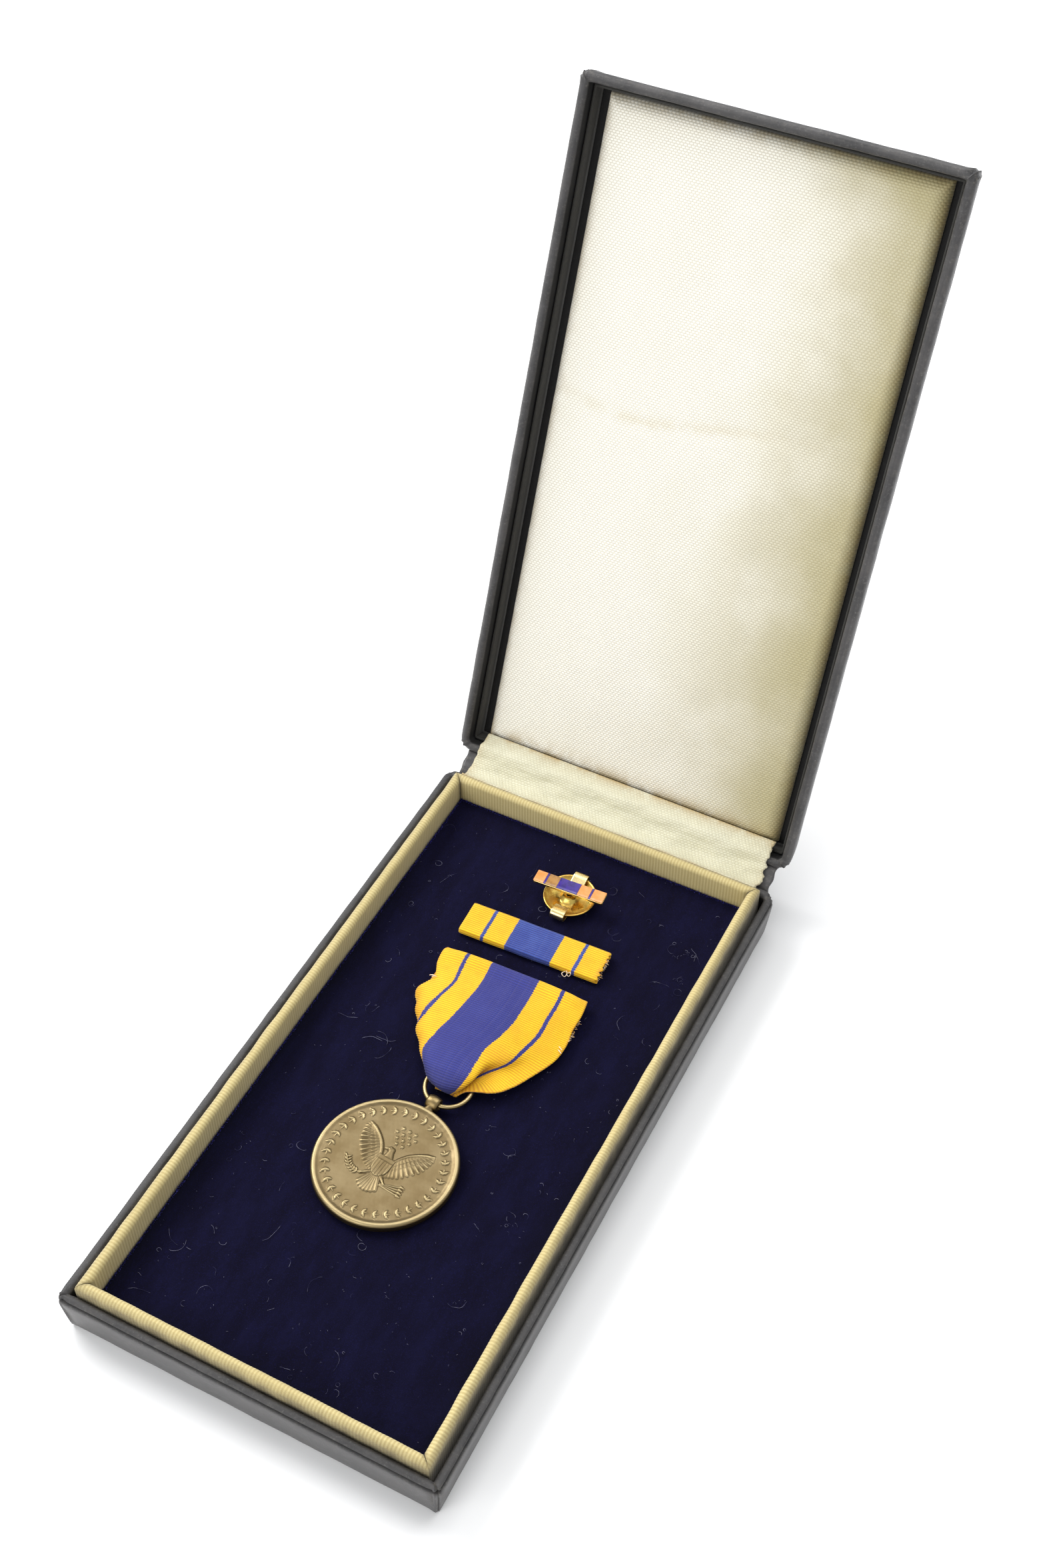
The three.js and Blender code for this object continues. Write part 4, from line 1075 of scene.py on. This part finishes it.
def make_medal_ribbon():
    knots, rows = ribbon_surface()
    run = np.arange(knots[0], knots[-1], RIBBON_PITCH / 5)
    columns = 110
    coarse = spline(knots, rows, run)
    across = np.linspace(0, 1, columns)
    points = spline(np.linspace(0, 1, 11), coarse.transpose(1, 0, 2), across).transpose(1, 0, 2)
    flat = np.stack(np.broadcast_arrays(across[None, :] * RIBBON_WIDTH, run[:, None]), -1)
    normals = grid_normals(points)
    normals *= np.sign(normals[np.searchsorted(run, 8.0), columns // 2, 2])
    front = np.clip(1 - np.abs(run - 16) / 18, 0, 1)[:, None]
    points = points + normals * (0.10 * ripple(flat, 9, 101) * front)[..., None]
    selvedge = 0.12 * ripple(run[:, None], 1.1, 102)[:, None, None] * normals[:, :, [1, 0, 2]] * 0.3
    points += selvedge * (np.abs(across - 0.5) > 0.49)[None, :, None]
    rib = 0.5 + 0.5 * np.cos(run / RIBBON_PITCH * 2 * math.pi)
    rib = np.broadcast_to(rib[:, None], points.shape[:2])
    upper = points + normals * (0.16 + 0.10 * (rib - 0.5))[..., None]
    lower = points - normals * (0.14 + 0.04 * (rib - 0.5))[..., None]
    near_edge = np.clip((np.abs(across - 0.5) - 0.485) / 0.015, 0, 1)[None, :]
    low_down = np.clip((run[:, None] - 21) / 8, 0, 1)
    # painted shade: darker in the pleat trough low on the drape, near the ring and along the rolled edge
    pleat = np.exp(-((across[None, :] - 0.80) / 0.055) ** 2) * low_down
    at_ring = np.clip((run[:, None] - 31) / 4, 0, 1)
    roll_at = 0.02 + (run[:, None] - 15) * 0.0205
    roll = np.exp(-((across[None, :] - roll_at) / 0.05) ** 2) * (run[:, None] > 13)
    shade = np.clip(0.75 * pleat + 0.45 * at_ring + 0.35 * roll, 0, 0.85)
    place = turned((*DRAPE_TOP, 0), DRAPE_TURN)
    piece = make_piece("medal_ribbon_cloth", *slab(upper, lower), RIBBON, place,
                       across=both(across[None, :], rib.shape), rib=both(rib, rib.shape),
                       wear=both(0.8 * near_edge, rib.shape), soil=both(shade, rib.shape))
    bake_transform(piece)
    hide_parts("medal_ribbon")


BAR_TURN = 2.3


def make_bar_ribbon():
    low_z, high_z = box_mm("ribbon_bar_ribbon")[0][2], box_mm("ribbon_bar_ribbon")[1][2]
    centre = middle("ribbon_bar_ribbon")
    half, lip, thickness = 4.45, 1.2, 0.34
    top = high_z - thickness / 2
    foot = low_z + thickness / 2
    side = [(half - lip, foot), (half - 0.55, foot), (half - 0.2, foot + 0.25), (half - 0.16, foot + 0.8),
            (half - 0.25, top - 0.22), (half - 0.65, top - 0.02), (half / 2, top + 0.02)]
    path = [(-y, z) for y, z in side] + [(0, top)] + side[::-1]
    columns = 110
    _, run = along_path(path, 10)
    count = int(run[-1] / RIBBON_PITCH * 8)
    line, run = along_path(path, count)
    across = np.linspace(0, 1, columns)
    x = (across - 0.5) * RIBBON_WIDTH
    points = carried(np.broadcast_to(x, (count, columns)), line)
    frayed = np.clip((x - 16.2) / 1.2, 0, 1)[None, :]
    points[..., 0] += 0.30 * ripple(run[:, None], 1.6, 111)[:, None] * frayed
    normals = grid_normals(points)
    normals *= np.sign(normals[count // 2, columns // 2, 2])
    flat = np.stack(np.broadcast_arrays(x[None, :], run[:, None]), -1)
    rib = np.broadcast_to((0.5 + 0.5 * np.cos(run / RIBBON_PITCH * 2 * math.pi))[:, None], (count, columns))
    soft = 0.05 * ripple(flat, 7, 112) - 0.10 * np.clip((np.abs(x[None, :]) - 16.9) / 0.55, 0, 1)
    upper = points + normals * (thickness / 2 + 0.09 * (rib - 0.5) + soft)[..., None]
    lower = points - normals * (thickness / 2)
    place = turned((centre[0], centre[1], 0), BAR_TURN)
    piece = make_piece("ribbon_bar_cloth", *slab(upper, lower), BAR_RIBBON, place,
                       across=both(across[None, :], rib.shape), rib=both(rib, rib.shape),
                       wear=both(frayed * 0.8, rib.shape))
    settle(piece, "service_bar", "ribbon", "ribbon_bar_ribbon")


def loose_ends(name, count, low, high, heading, material, matrix, seed, length=0.9, radius=0.035):
    """Short broken fibres that stand out of a frayed edge between two points."""
    rng = np.random.default_rng(seed)
    fibres = []
    for _ in range(count):
        start = np.array(low) + (np.array(high) - low) * rng.random()
        aim = np.array(heading, float) + rng.normal(0, 0.55, 3)
        aim /= np.linalg.norm(aim)
        bend = rng.normal(0, 0.35, 3)
        t = np.linspace(0, 1, 6)[:, None]
        fibres.append(tube(start + length * rng.uniform(0.4, 1.1) * (aim * t + bend * t**2), radius, 3))
    return make_piece(name, *gather(fibres), material, matrix)


def make_threads():
    drape = turned((*DRAPE_TOP, 0), DRAPE_TURN)
    bar = turned((*middle("ribbon_bar_ribbon")[:2], 0), BAR_TURN)
    right_edge = loose_ends("drape_frayed_edge", 34, (18.3, -5.2, 10.6), (18.3, -11.5, 10.4), (1, 0.1, 0.1),
                            THREAD_GOLD, drape, 121, 0.6)
    settle(right_edge, "brooch", "ribbon")
    bar_end = loose_ends("bar_frayed_end", 46, (17.5, -3.9, 9.6), (17.5, 2.4, 10.0), (1, -0.2, 0.1),
                         THREAD_GOLD, bar, 122, 0.6)
    settle(bar_end, "service_bar", "ribbon")
    stitches = []
    for x, y, z, slant in ((-16.9, -8.7, 11.15, 0.5), (-16.2, -8.9, 11.35, 0.5), (17.7, -13.9, 10.75, -0.6),
                           (17.9, -14.7, 10.65, -0.6)):
        t = np.linspace(-1, 1, 7)[:, None]
        arch = t * [0.55, 0.55 * slant, 0] + (1 - t**2) * [0, 0, 0.16]
        stitches.append(tube(np.array([x, y, z]) + arch, 0.1, 6))
    settle(make_piece("drape_stitches", *gather(stitches), THREAD_PALE, drape), "brooch", "ribbon")
    t = np.linspace(0, 2 * math.pi, 30)[:, None]
    loop = np.column_stack([0.55 * np.cos(t), 0.75 * np.sin(t) - 0.2, 0.25 * np.sin(2 * t)])
    loops = [tube(loop + [9.9, -5.0, 9.3], 0.09, 6), tube(loop * 0.75 + [10.9, -4.9, 9.5], 0.08, 6)]
    settle(make_piece("bar_thread_loop", *gather(loops), THREAD_PALE, bar), "service_bar", "ribbon")


# ---- medal ----------------------------------------------------------------------------------
MEDAL_TURN = -5.7
MEDAL_R = 15.75


def bar_shape(x, y, start, end, wide_start, wide_end):
    """1 on the middle line of a tapered bar with round ends, falling to 0 at its edge."""
    start, end = np.array(start, float), np.array(end, float)
    along = end - start
    t = np.clip(((x - start[0]) * along[0] + (y - start[1]) * along[1]) / (along @ along), 0, 1)
    distance = np.hypot(x - start[0] - t * along[0], y - start[1] - t * along[1])
    width = wide_start + (wide_end - wide_start) * t
    return np.clip(1 - (distance / width) ** 2, 0, 1)


def star_shape(x, y, centre, size):
    angle = np.arctan2(y - centre[1], x - centre[0]) - math.pi / 2
    reach = np.hypot(x - centre[0], y - centre[1])
    fifth = np.abs((angle / (2 * math.pi) * 5 + 0.5) % 1 - 0.5) * 2
    edge = size * (1 - 0.55 * fifth)
    return np.clip(1 - reach / edge, 0, 1)


def relief(x, y):
    """Height of the struck design above the field: an eagle behind a plain shield, with a branch,
    a bundle of arrows and stars, inside a border of leaf sprigs."""
    height = np.zeros_like(x)

    def raise_to(shape, tall, power=0.6):
        nonlocal height
        height = np.maximum(height, tall * shape ** power)

    def carve(shape, deep):
        nonlocal height
        height = height - deep * shape

    for side in (-1, 1):
        edge = np.array([(1.4, -0.7), (2.1, 1.5), (3.3, 3.3), (4.9, 4.7), (6.7, 5.8)]) * [side, 1]
        count = 15
        roots = spline(np.linspace(0, 1, 5), edge, np.linspace(0, 1, count))
        for k, root in enumerate(roots):
            t = k / (count - 1)
            angle = math.radians(-82 + 104 * t**1.25)
            length = np.interp(t, [0, 0.3, 0.6, 0.85, 1], [2.4, 4.3, 4.2, 2.8, 1.5])
            reach = np.array([side * math.cos(angle), math.sin(angle)])
            raise_to(bar_shape(x, y, root, root + reach * length, 0.60, 0.40), 0.20, 0.25)
            raise_to(bar_shape(x, y, root, root + reach * (length - 0.1), 0.36, 0.24), 0.31, 0.8)
            for part, wide in ((0.26, 0.44), (0.50, 0.40)):
                scale = root + reach * length * part
                tall = 0.42 - 0.5 * (part - 0.26) * 0.6
                raise_to(bar_shape(x, y, root, scale, wide, wide * 0.9), tall, 0.4)
        for a, b in zip(roots[:-1], roots[1:]):
            raise_to(bar_shape(x, y, a, b, 0.50, 0.42), 0.50)
        raise_to(bar_shape(x, y, (side * 0.9, -3.2), (side * 2.5, -4.5), 0.62, 0.34), 0.44)
        for toe in (-0.6, 0.0, 0.6):
            tip = (side * 3.0 + toe * 0.5, -5.1 + abs(toe) * 0.4)
            raise_to(bar_shape(x, y, (side * 2.5, -4.5), tip, 0.22, 0.14), 0.5)
    for k in range(-3, 4):
        tip = (k * 0.72, -7.7 + 0.11 * k * k)
        raise_to(bar_shape(x, y, (k * 0.2, -3.4), tip, 0.46, 0.52), 0.22, 0.3)
        raise_to(bar_shape(x, y, (k * 0.2, -3.4), tip, 0.26, 0.30), 0.33, 0.8)
    raise_to(bar_shape(x, y, (0, 0.6), (-0.3, 2.5), 1.35, 0.78), 0.56)
    raise_to(bar_shape(x, y, (-0.42, 2.9), (-0.75, 3.05), 0.86, 0.70), 0.62)
    raise_to(bar_shape(x, y, (-1.2, 3.05), (-1.95, 2.7), 0.36, 0.12), 0.5)
    carve(np.clip(1 - np.hypot(x + 0.74, y - 3.2) / 0.22, 0, 1), 0.2)
    # the shield: straight sides, a pointed foot, a plain upper band and upright grooves
    half = 2.1 * np.sqrt(np.clip(1 - (np.clip(-y - 1.4, 0, None) / 2.6) ** 2, 0, 1))
    inside = np.clip(np.minimum(1.1 - y, half - np.abs(x)) / 0.16, 0, 1) * (y > -4.1)
    height = np.where(inside > 0, np.maximum(height * (1 - inside), 0.60 * inside), height)
    carve(inside * (y < -0.05) * np.clip(np.cos(x * 2 * math.pi / 0.7), 0, 1), 0.12)
    carve(inside * np.exp(-(y / 0.09) ** 2), 0.16)
    stem = np.array([(-2.8, -4.9), (-4.5, -5.2), (-6.2, -4.6), (-7.6, -3.2)])
    for a, b in zip(stem[:-1], stem[1:]):
        raise_to(bar_shape(x, y, a, b, 0.16, 0.14), 0.36)
    for k in range(7):
        root = spline(np.arange(4), stem, [0.5 + 0.4 * k])[0]
        for turn in (-1, 1):
            heading = math.radians(180 - 14 * k + turn * 48)
            tip = root + 1.05 * np.array([math.cos(heading), math.sin(heading)])
            raise_to(bar_shape(x, y, root, (root + tip) / 2, 0.10, 0.30), 0.34, 0.5)
            raise_to(bar_shape(x, y, (root + tip) / 2, tip, 0.30, 0.08), 0.34, 0.5)
    for k in range(4):
        tail, head = np.array([2.2, -5.3 + 0.12 * k]), np.array([7.2 - 0.1 * k, -5.4 + 0.72 * k])
        raise_to(bar_shape(x, y, tail, head, 0.14, 0.14), 0.34)
        raise_to(bar_shape(x, y, head - [0.5, 0], head + [0.45, -0.05], 0.36, 0.06), 0.40)
    for row, across in enumerate((2, 3, 4, 3)):
        for k in range(across):
            star_at = (0.2 + 1.55 * (k - (across - 1) / 2), 4.9 + 1.3 * row)
            raise_to(star_shape(x, y, star_at, 0.62), 0.36, 0.7)
    sprigs = 34
    for k in range(sprigs):
        angle = 2 * math.pi * k / sprigs
        radial = np.array([math.cos(angle), math.sin(angle)])
        tangent = np.array([-radial[1], radial[0]])
        root = radial * 12.7 - tangent * 0.5
        raise_to(bar_shape(x, y, root, root + tangent * 1.15, 0.13, 0.13), 0.26)
        for slant in (-1, 1):
            tip = root + radial * 0.92 * slant + tangent * 0.72
            raise_to(bar_shape(x, y, root, (root + tip) / 2, 0.14, 0.38), 0.34, 0.5)
            raise_to(bar_shape(x, y, (root + tip) / 2, tip, 0.38, 0.12), 0.34, 0.5)
    return height


def make_medal():
    low, high = box_mm("medal_disc")
    centre = (low + high) / 2
    field = high[2] - 0.46
    steps = 620
    rim_radii = [13.9, 14.1, 14.3, 14.5, 14.7, 14.9, 15.1, 15.28, 15.44, 15.57, 15.66, 15.72, MEDAL_R]
    radii = np.concatenate([np.linspace(0.09, 13.65, 152), rim_radii])
    angle = around_circle(steps)
    x = radii[:, None] * np.cos(angle)
    y = radii[:, None] * np.sin(angle)
    struck = relief(x, y)
    soft = struck.copy()
    soft[1:-1] = 0.5 * soft[1:-1] + 0.25 * (soft[2:] + soft[:-2])
    soft = 0.5 * soft + 0.25 * (np.roll(soft, 1, 1) + np.roll(soft, -1, 1))
    lip_in, lip_out = 13.9, MEDAL_R
    t = np.clip((radii - lip_in) / (lip_out - lip_in), 0, 1)
    rim = 0.32 * np.where(t < 0.6, 0.5 - 0.5 * np.cos(math.pi * t / 0.6), 1.0)
    rim -= 0.50 * np.clip((t - 0.70) / 0.30, 0, 1) ** 2.6
    dish = -0.10 * np.clip(1 - (radii / 13.0) ** 2, 0, 1)
    z = field + soft * 0.78 + (rim + dish)[:, None] + 0.012 * ripple(np.stack([x, y], -1), 1.4, 131)
    front = np.stack([x, y, z], -1)
    edge_z = np.linspace(z[-1].mean(), low[2] + 0.5, 9)[1:]
    bulge = 0.10 * np.sin(np.linspace(0, math.pi, 10))[1:-1]
    side = round_rings(zip(MEDAL_R + bulge, edge_z), angle)
    back_profile = [(MEDAL_R - 0.15, low[2] + 0.2), (MEDAL_R - 0.5, low[2] + 0.02), (MEDAL_R - 1.2, low[2]),
                    (MEDAL_R - 1.8, low[2] + 0.1), (MEDAL_R - 2.3, low[2] + 0.32), (9, low[2] + 0.34),
                    (4, low[2] + 0.34), (0.09, low[2] + 0.34)]
    back = round_rings(back_profile, angle)
    rings = np.concatenate([front, side, back])
    faces = cap_ends(grid_faces(len(rings), steps, close_columns=True), len(rings), steps)
    blurred = struck.copy()
    for _ in range(9):
        blurred[1:-1] = 0.4 * blurred[1:-1] + 0.3 * (blurred[2:] + blurred[:-2])
        blurred = 0.4 * blurred + 0.3 * (np.roll(blurred, 2, 1) + np.roll(blurred, -2, 1))
    cavity = np.clip(0.62 + (struck - blurred) * 3.0, 0.12, 1)
    cavity = np.maximum(cavity, np.clip((radii - 14.2) / 0.7, 0, 1)[:, None] * 0.95)
    level = np.concatenate([cavity, np.full((len(side) + len(back), steps), 0.30)])
    disc = make_piece("medal_struck", rings, faces, BRONZE, turned((centre[0], centre[1], 0), MEDAL_TURN),
                      relief=level)
    settle(disc, "medal", "bronze", "medal_disc")


def make_hangers():
    """The ring's wire, and the barrel lug with its neck."""
    low, high = box_mm("suspension_ring")
    centre = (low + high) / 2
    wire = (high[2] - low[2]) / 2
    radius = (high[0] - low[0]) / 2 - wire
    around = around_circle(160)
    angle = around_circle(20)
    wobble = 1 + 0.006 * np.sin(2 * around + 0.7)
    worn = wire * (1 + 0.04 * np.sin(around * 3))
    reach = radius * wobble[:, None] + worn[:, None] * np.cos(angle)
    points = centre + np.stack([reach * np.cos(around)[:, None], reach * np.sin(around)[:, None],
                                worn[:, None] * np.sin(angle)], -1)
    # painted highlight along the wire's top and painted shade underneath
    level = 0.55 + 0.45 * np.broadcast_to(np.sin(angle), points.shape[:2])
    faces = grid_faces(160, 20, True, True)
    ring = make_piece("suspension_ring_wire", points, faces, WORN_BRONZE, relief=level)
    settle(ring, "ring", "bronze", "suspension_ring")

    pivot = np.array(joint_named("medal_swing")["pos_m"]) / MM
    outer = [(0.80, -1.42), (1.10, -1.52), (1.42, -1.42), (1.60, -1.0), (1.70, -0.45), (1.72, 0),
             (1.70, 0.45), (1.60, 1.0), (1.42, 1.42), (1.10, 1.52), (0.80, 1.42)]
    bore = [(0.74, 1.0), (0.72, 0.0), (0.74, -1.0)]
    profile = np.array(outer + bore)
    steps = 48
    angle = around_circle(steps)
    barrel = np.stack([np.broadcast_to(profile[:, None, 1], (len(profile), steps)),
                       profile[:, None, 0] * np.cos(angle), profile[:, None, 0] * np.sin(angle)], -1)
    place = turned(pivot, MEDAL_TURN)
    faces = grid_faces(len(profile), steps, True, True)
    lug = make_piece("medal_lug_barrel", barrel, faces, WORN_BRONZE, place,
                     relief=np.full(barrel.shape[:2], 0.6))
    settle(lug, "medal", "bronze", "medal_lug")

    disc_centre = middle("medal_disc")
    gap = np.linalg.norm(pivot[:2] - disc_centre[:2]) - MEDAL_R
    drop = disc_centre[2] - pivot[2]
    stations = [(-1.2, 0.0, 0.86), (-1.5, 0.15, 0.92), (-1.8, 0.55, 1.0), (-gap + 0.1, 0.95, 1.25),
                (-gap - 0.5, 1.0, 1.75), (-gap - 1.0, 1.0, 2.1)]
    rings = []
    for y, fall, wide in stations:
        tall = min(wide, 0.95)
        rings.append(np.column_stack([wide * np.cos(angle), np.full(steps, y),
                                      drop * fall + tall * np.sin(angle)]))
    faces = cap_ends(grid_faces(len(rings), steps, close_columns=True), len(rings), steps)
    neck = make_piece("medal_lug_neck", np.array(rings), faces, BRONZE, place,
                      relief=np.full((len(rings), steps), 0.35))
    settle(neck, "medal", "bronze")


# ---- lapel pin and its clutch ---------------------------------------------------------------
LAPEL_TURN = 3.2


def rounded_block(length, depth, low_z, high_z, radius, bevel, crown=0.0):
    """A bar along X with rounded corners and edges and a slightly crowned top."""
    levels = [(bevel, low_z), (bevel * 0.3, low_z + bevel * 0.3), (0, low_z + bevel), (0, high_z - bevel),
              (bevel * 0.3, high_z - bevel * 0.3), (bevel, high_z)]
    loops = []
    for inset, z in levels:
        half_x, half_y = length / 2 - inset, depth / 2 - inset
        r = max(radius - inset, 0.02)
        loop = []
        for k, (sx, sy) in enumerate([(1, 1), (-1, 1), (-1, -1), (1, -1)]):
            for a in np.linspace(0, math.pi / 2, 5) + k * math.pi / 2:
                loop.append((sx * (half_x - r) + r * math.cos(a), sy * (half_y - r) + r * math.sin(a), z))
        loops.append(loop)
    inner = [(x * 0.86, y * 0.6, z + crown) for x, y, z in loops[-1]]
    loops.append(inner)
    count = len(loops[0])
    return np.array(loops), cap_ends(grid_faces(len(loops), count, close_columns=True), len(loops), count)


def make_lapel_pin():
    low, high = box_mm("lapel_bar")
    centre = (low + high) / 2
    length, depth = 17.6, 3.4
    place = turned((centre[0], centre[1], 0), LAPEL_TURN)
    points, faces = rounded_block(length, depth, low[2], high[2] - 0.22, 0.35, 0.12)
    bar = make_piece("lapel_bar_gilt", points, faces, GILT, place, relief=np.full(points.shape[:2], 0.8))
    settle(bar, "lapel_pin", "gilt", "lapel_bar")
    names = ["outer_left", "stripe_left", "inner_left", "centre", "inner_right", "stripe_right",
             "outer_right"]
    edges = [0, 0.145, 0.175, 0.335, 0.635, 0.795, 0.825, 1]
    wall = 0.07
    for k, name in enumerate(names):
        x0 = -length / 2 + wall + edges[k] * (length - 2 * wall)
        x1 = -length / 2 + wall + edges[k + 1] * (length - 2 * wall)
        points, faces = rounded_block(x1 - x0 - 0.02, depth - 2 * wall, high[2] - 0.24, high[2] + 0.02,
                                      0.06, 0.04, 0.02)
        points[..., 0] += (x0 + x1) / 2
        material = ENAMEL_BLUE if k % 2 else ENAMEL_ORANGE
        if name == "inner_left":
            material = ENAMEL_WORN
        chip = make_piece(f"enamel_{name}_glaze", points, faces, material, place)
        settle(chip, "lapel_pin", "enamel_blue" if k % 2 else "enamel_orange", f"enamel_{name}")


def bent_tab(path, width, thickness, rows=40, columns=14):
    """A sprung sheet-metal tab bent along a side path of (y, z) points, its edges eased."""
    line, _ = along_path(path, rows)
    share = np.linspace(-1, 1, columns)
    x = np.sign(share) * (1 - (1 - np.abs(share)) ** 1.6) * width / 2
    points = carried(np.broadcast_to(x, (rows, columns)), line)
    normals = grid_normals(points)
    ease = 1 - 0.45 * np.abs(share) ** 8
    shift = normals * (thickness / 2 * ease[None, :, None])
    return slab(points + shift, points - shift)


def make_clutch():
    low, high = box_mm("clutch_disc")
    centre = (low + high) / 2
    b, rim = low[2], (high[0] - low[0]) / 2
    sheet = 0.32
    upper = [(0.72, b + 1.62), (1.05, b + 1.66), (1.5, b + 1.52), (1.85, b + 1.15), (2.15, b + 0.72),
             (2.6, b + 0.48), (3.3, b + 0.40), (4.2, b + 0.42), (5.0, b + 0.58), (rim - 0.75, b + 0.90),
             (rim - 0.5, b + 1.18), (rim - 0.28, b + 1.34), (rim - 0.08, b + 1.30), (rim, b + 1.12),
             (rim - 0.1, b + 0.92)]
    lower = [(rim - 0.35, b + 0.74), (5.0, b + 0.58 - sheet), (4.2, b + 0.42 - sheet),
             (3.3, b + 0.38 - sheet), (2.4, b + 0.10), (1.8, b + 0.55), (1.3, b + 1.1), (0.72, b + 1.26)]
    profile = np.array(upper + lower)
    steps = 96
    angle = around_circle(steps)
    dents = 0.05 * ripple(np.column_stack([np.cos(angle), np.sin(angle)]) * 5, 4, 141)
    points = round_rings(profile, angle)
    points[..., 2] += dents * (profile[:, None, 0] > 1.2)
    place = turned((centre[0], centre[1], 0), 0)
    dish = make_piece("clutch_dish", points, grid_faces(len(profile), steps, True, True), BRASS, place)
    settle(dish, "clutch", "brass", "clutch_disc")
    foot = box_mm("clutch_wing_back")[0][2]
    path = [(1.2, foot + 0.16), (4.0, foot + 0.14), (6.0, foot + 0.18), (6.75, foot + 0.42),
            (7.05, foot + 1.1), (6.95, foot + 1.9), (6.45, foot + 2.32), (5.6, foot + 2.34),
            (4.6, foot + 2.05), (3.7, foot + 1.75)]
    for side, turn in (("back", 0), ("front", 180)):
        body, faces = bent_tab(path, 3.5, 0.3)
        tab = make_piece(f"clutch_tab_{side}", body, faces, GILT, turned((centre[0], centre[1], 0), turn),
                         relief=np.full(len(body), 0.9))
        settle(tab, f"wing_{side}", "brass", f"clutch_wing_{side}")


def finish_hardware():
    """Fittings whose CAD shape is already right: a better finish and softened edges."""
    finishes = {
        BRONZE: ["brooch_bar", "brooch_back_plate", "brooch_pin_yoke", "brooch_pin_rivet", "brooch_pin_catch",
                 "brooch_pin"],
        BRASS: ["ribbon_bar_plate", "ribbon_bar_pin_yoke", "ribbon_bar_pin_rivet", "ribbon_bar_pin_catch",
                "ribbon_bar_pin"],
        GILT: ["lapel_post"],
        CARD: ["pad_board", "pad_riser_left", "pad_riser_right"]}
    for material, names in finishes.items():
        for name in names:
            node = frame["nodes"][name]
            node.data.materials.clear()
            node.data.materials.append(material)
            bevel = node.modifiers.new("eased_edges", "BEVEL")
            bevel.width = 0.06 * MM
            bevel.segments = 2
            bevel.limit_method = "ANGLE"
            bevel.angle_limit = math.radians(40)


make_base()
make_lid_shell()
make_hinge()
make_collars()
make_velvet()
make_lint()
make_lid_pad()
make_lid_trim()
make_medal_ribbon()
make_bar_ribbon()
make_threads()
make_medal()
make_hangers()
make_lapel_pin()
make_clutch()
finish_hardware()
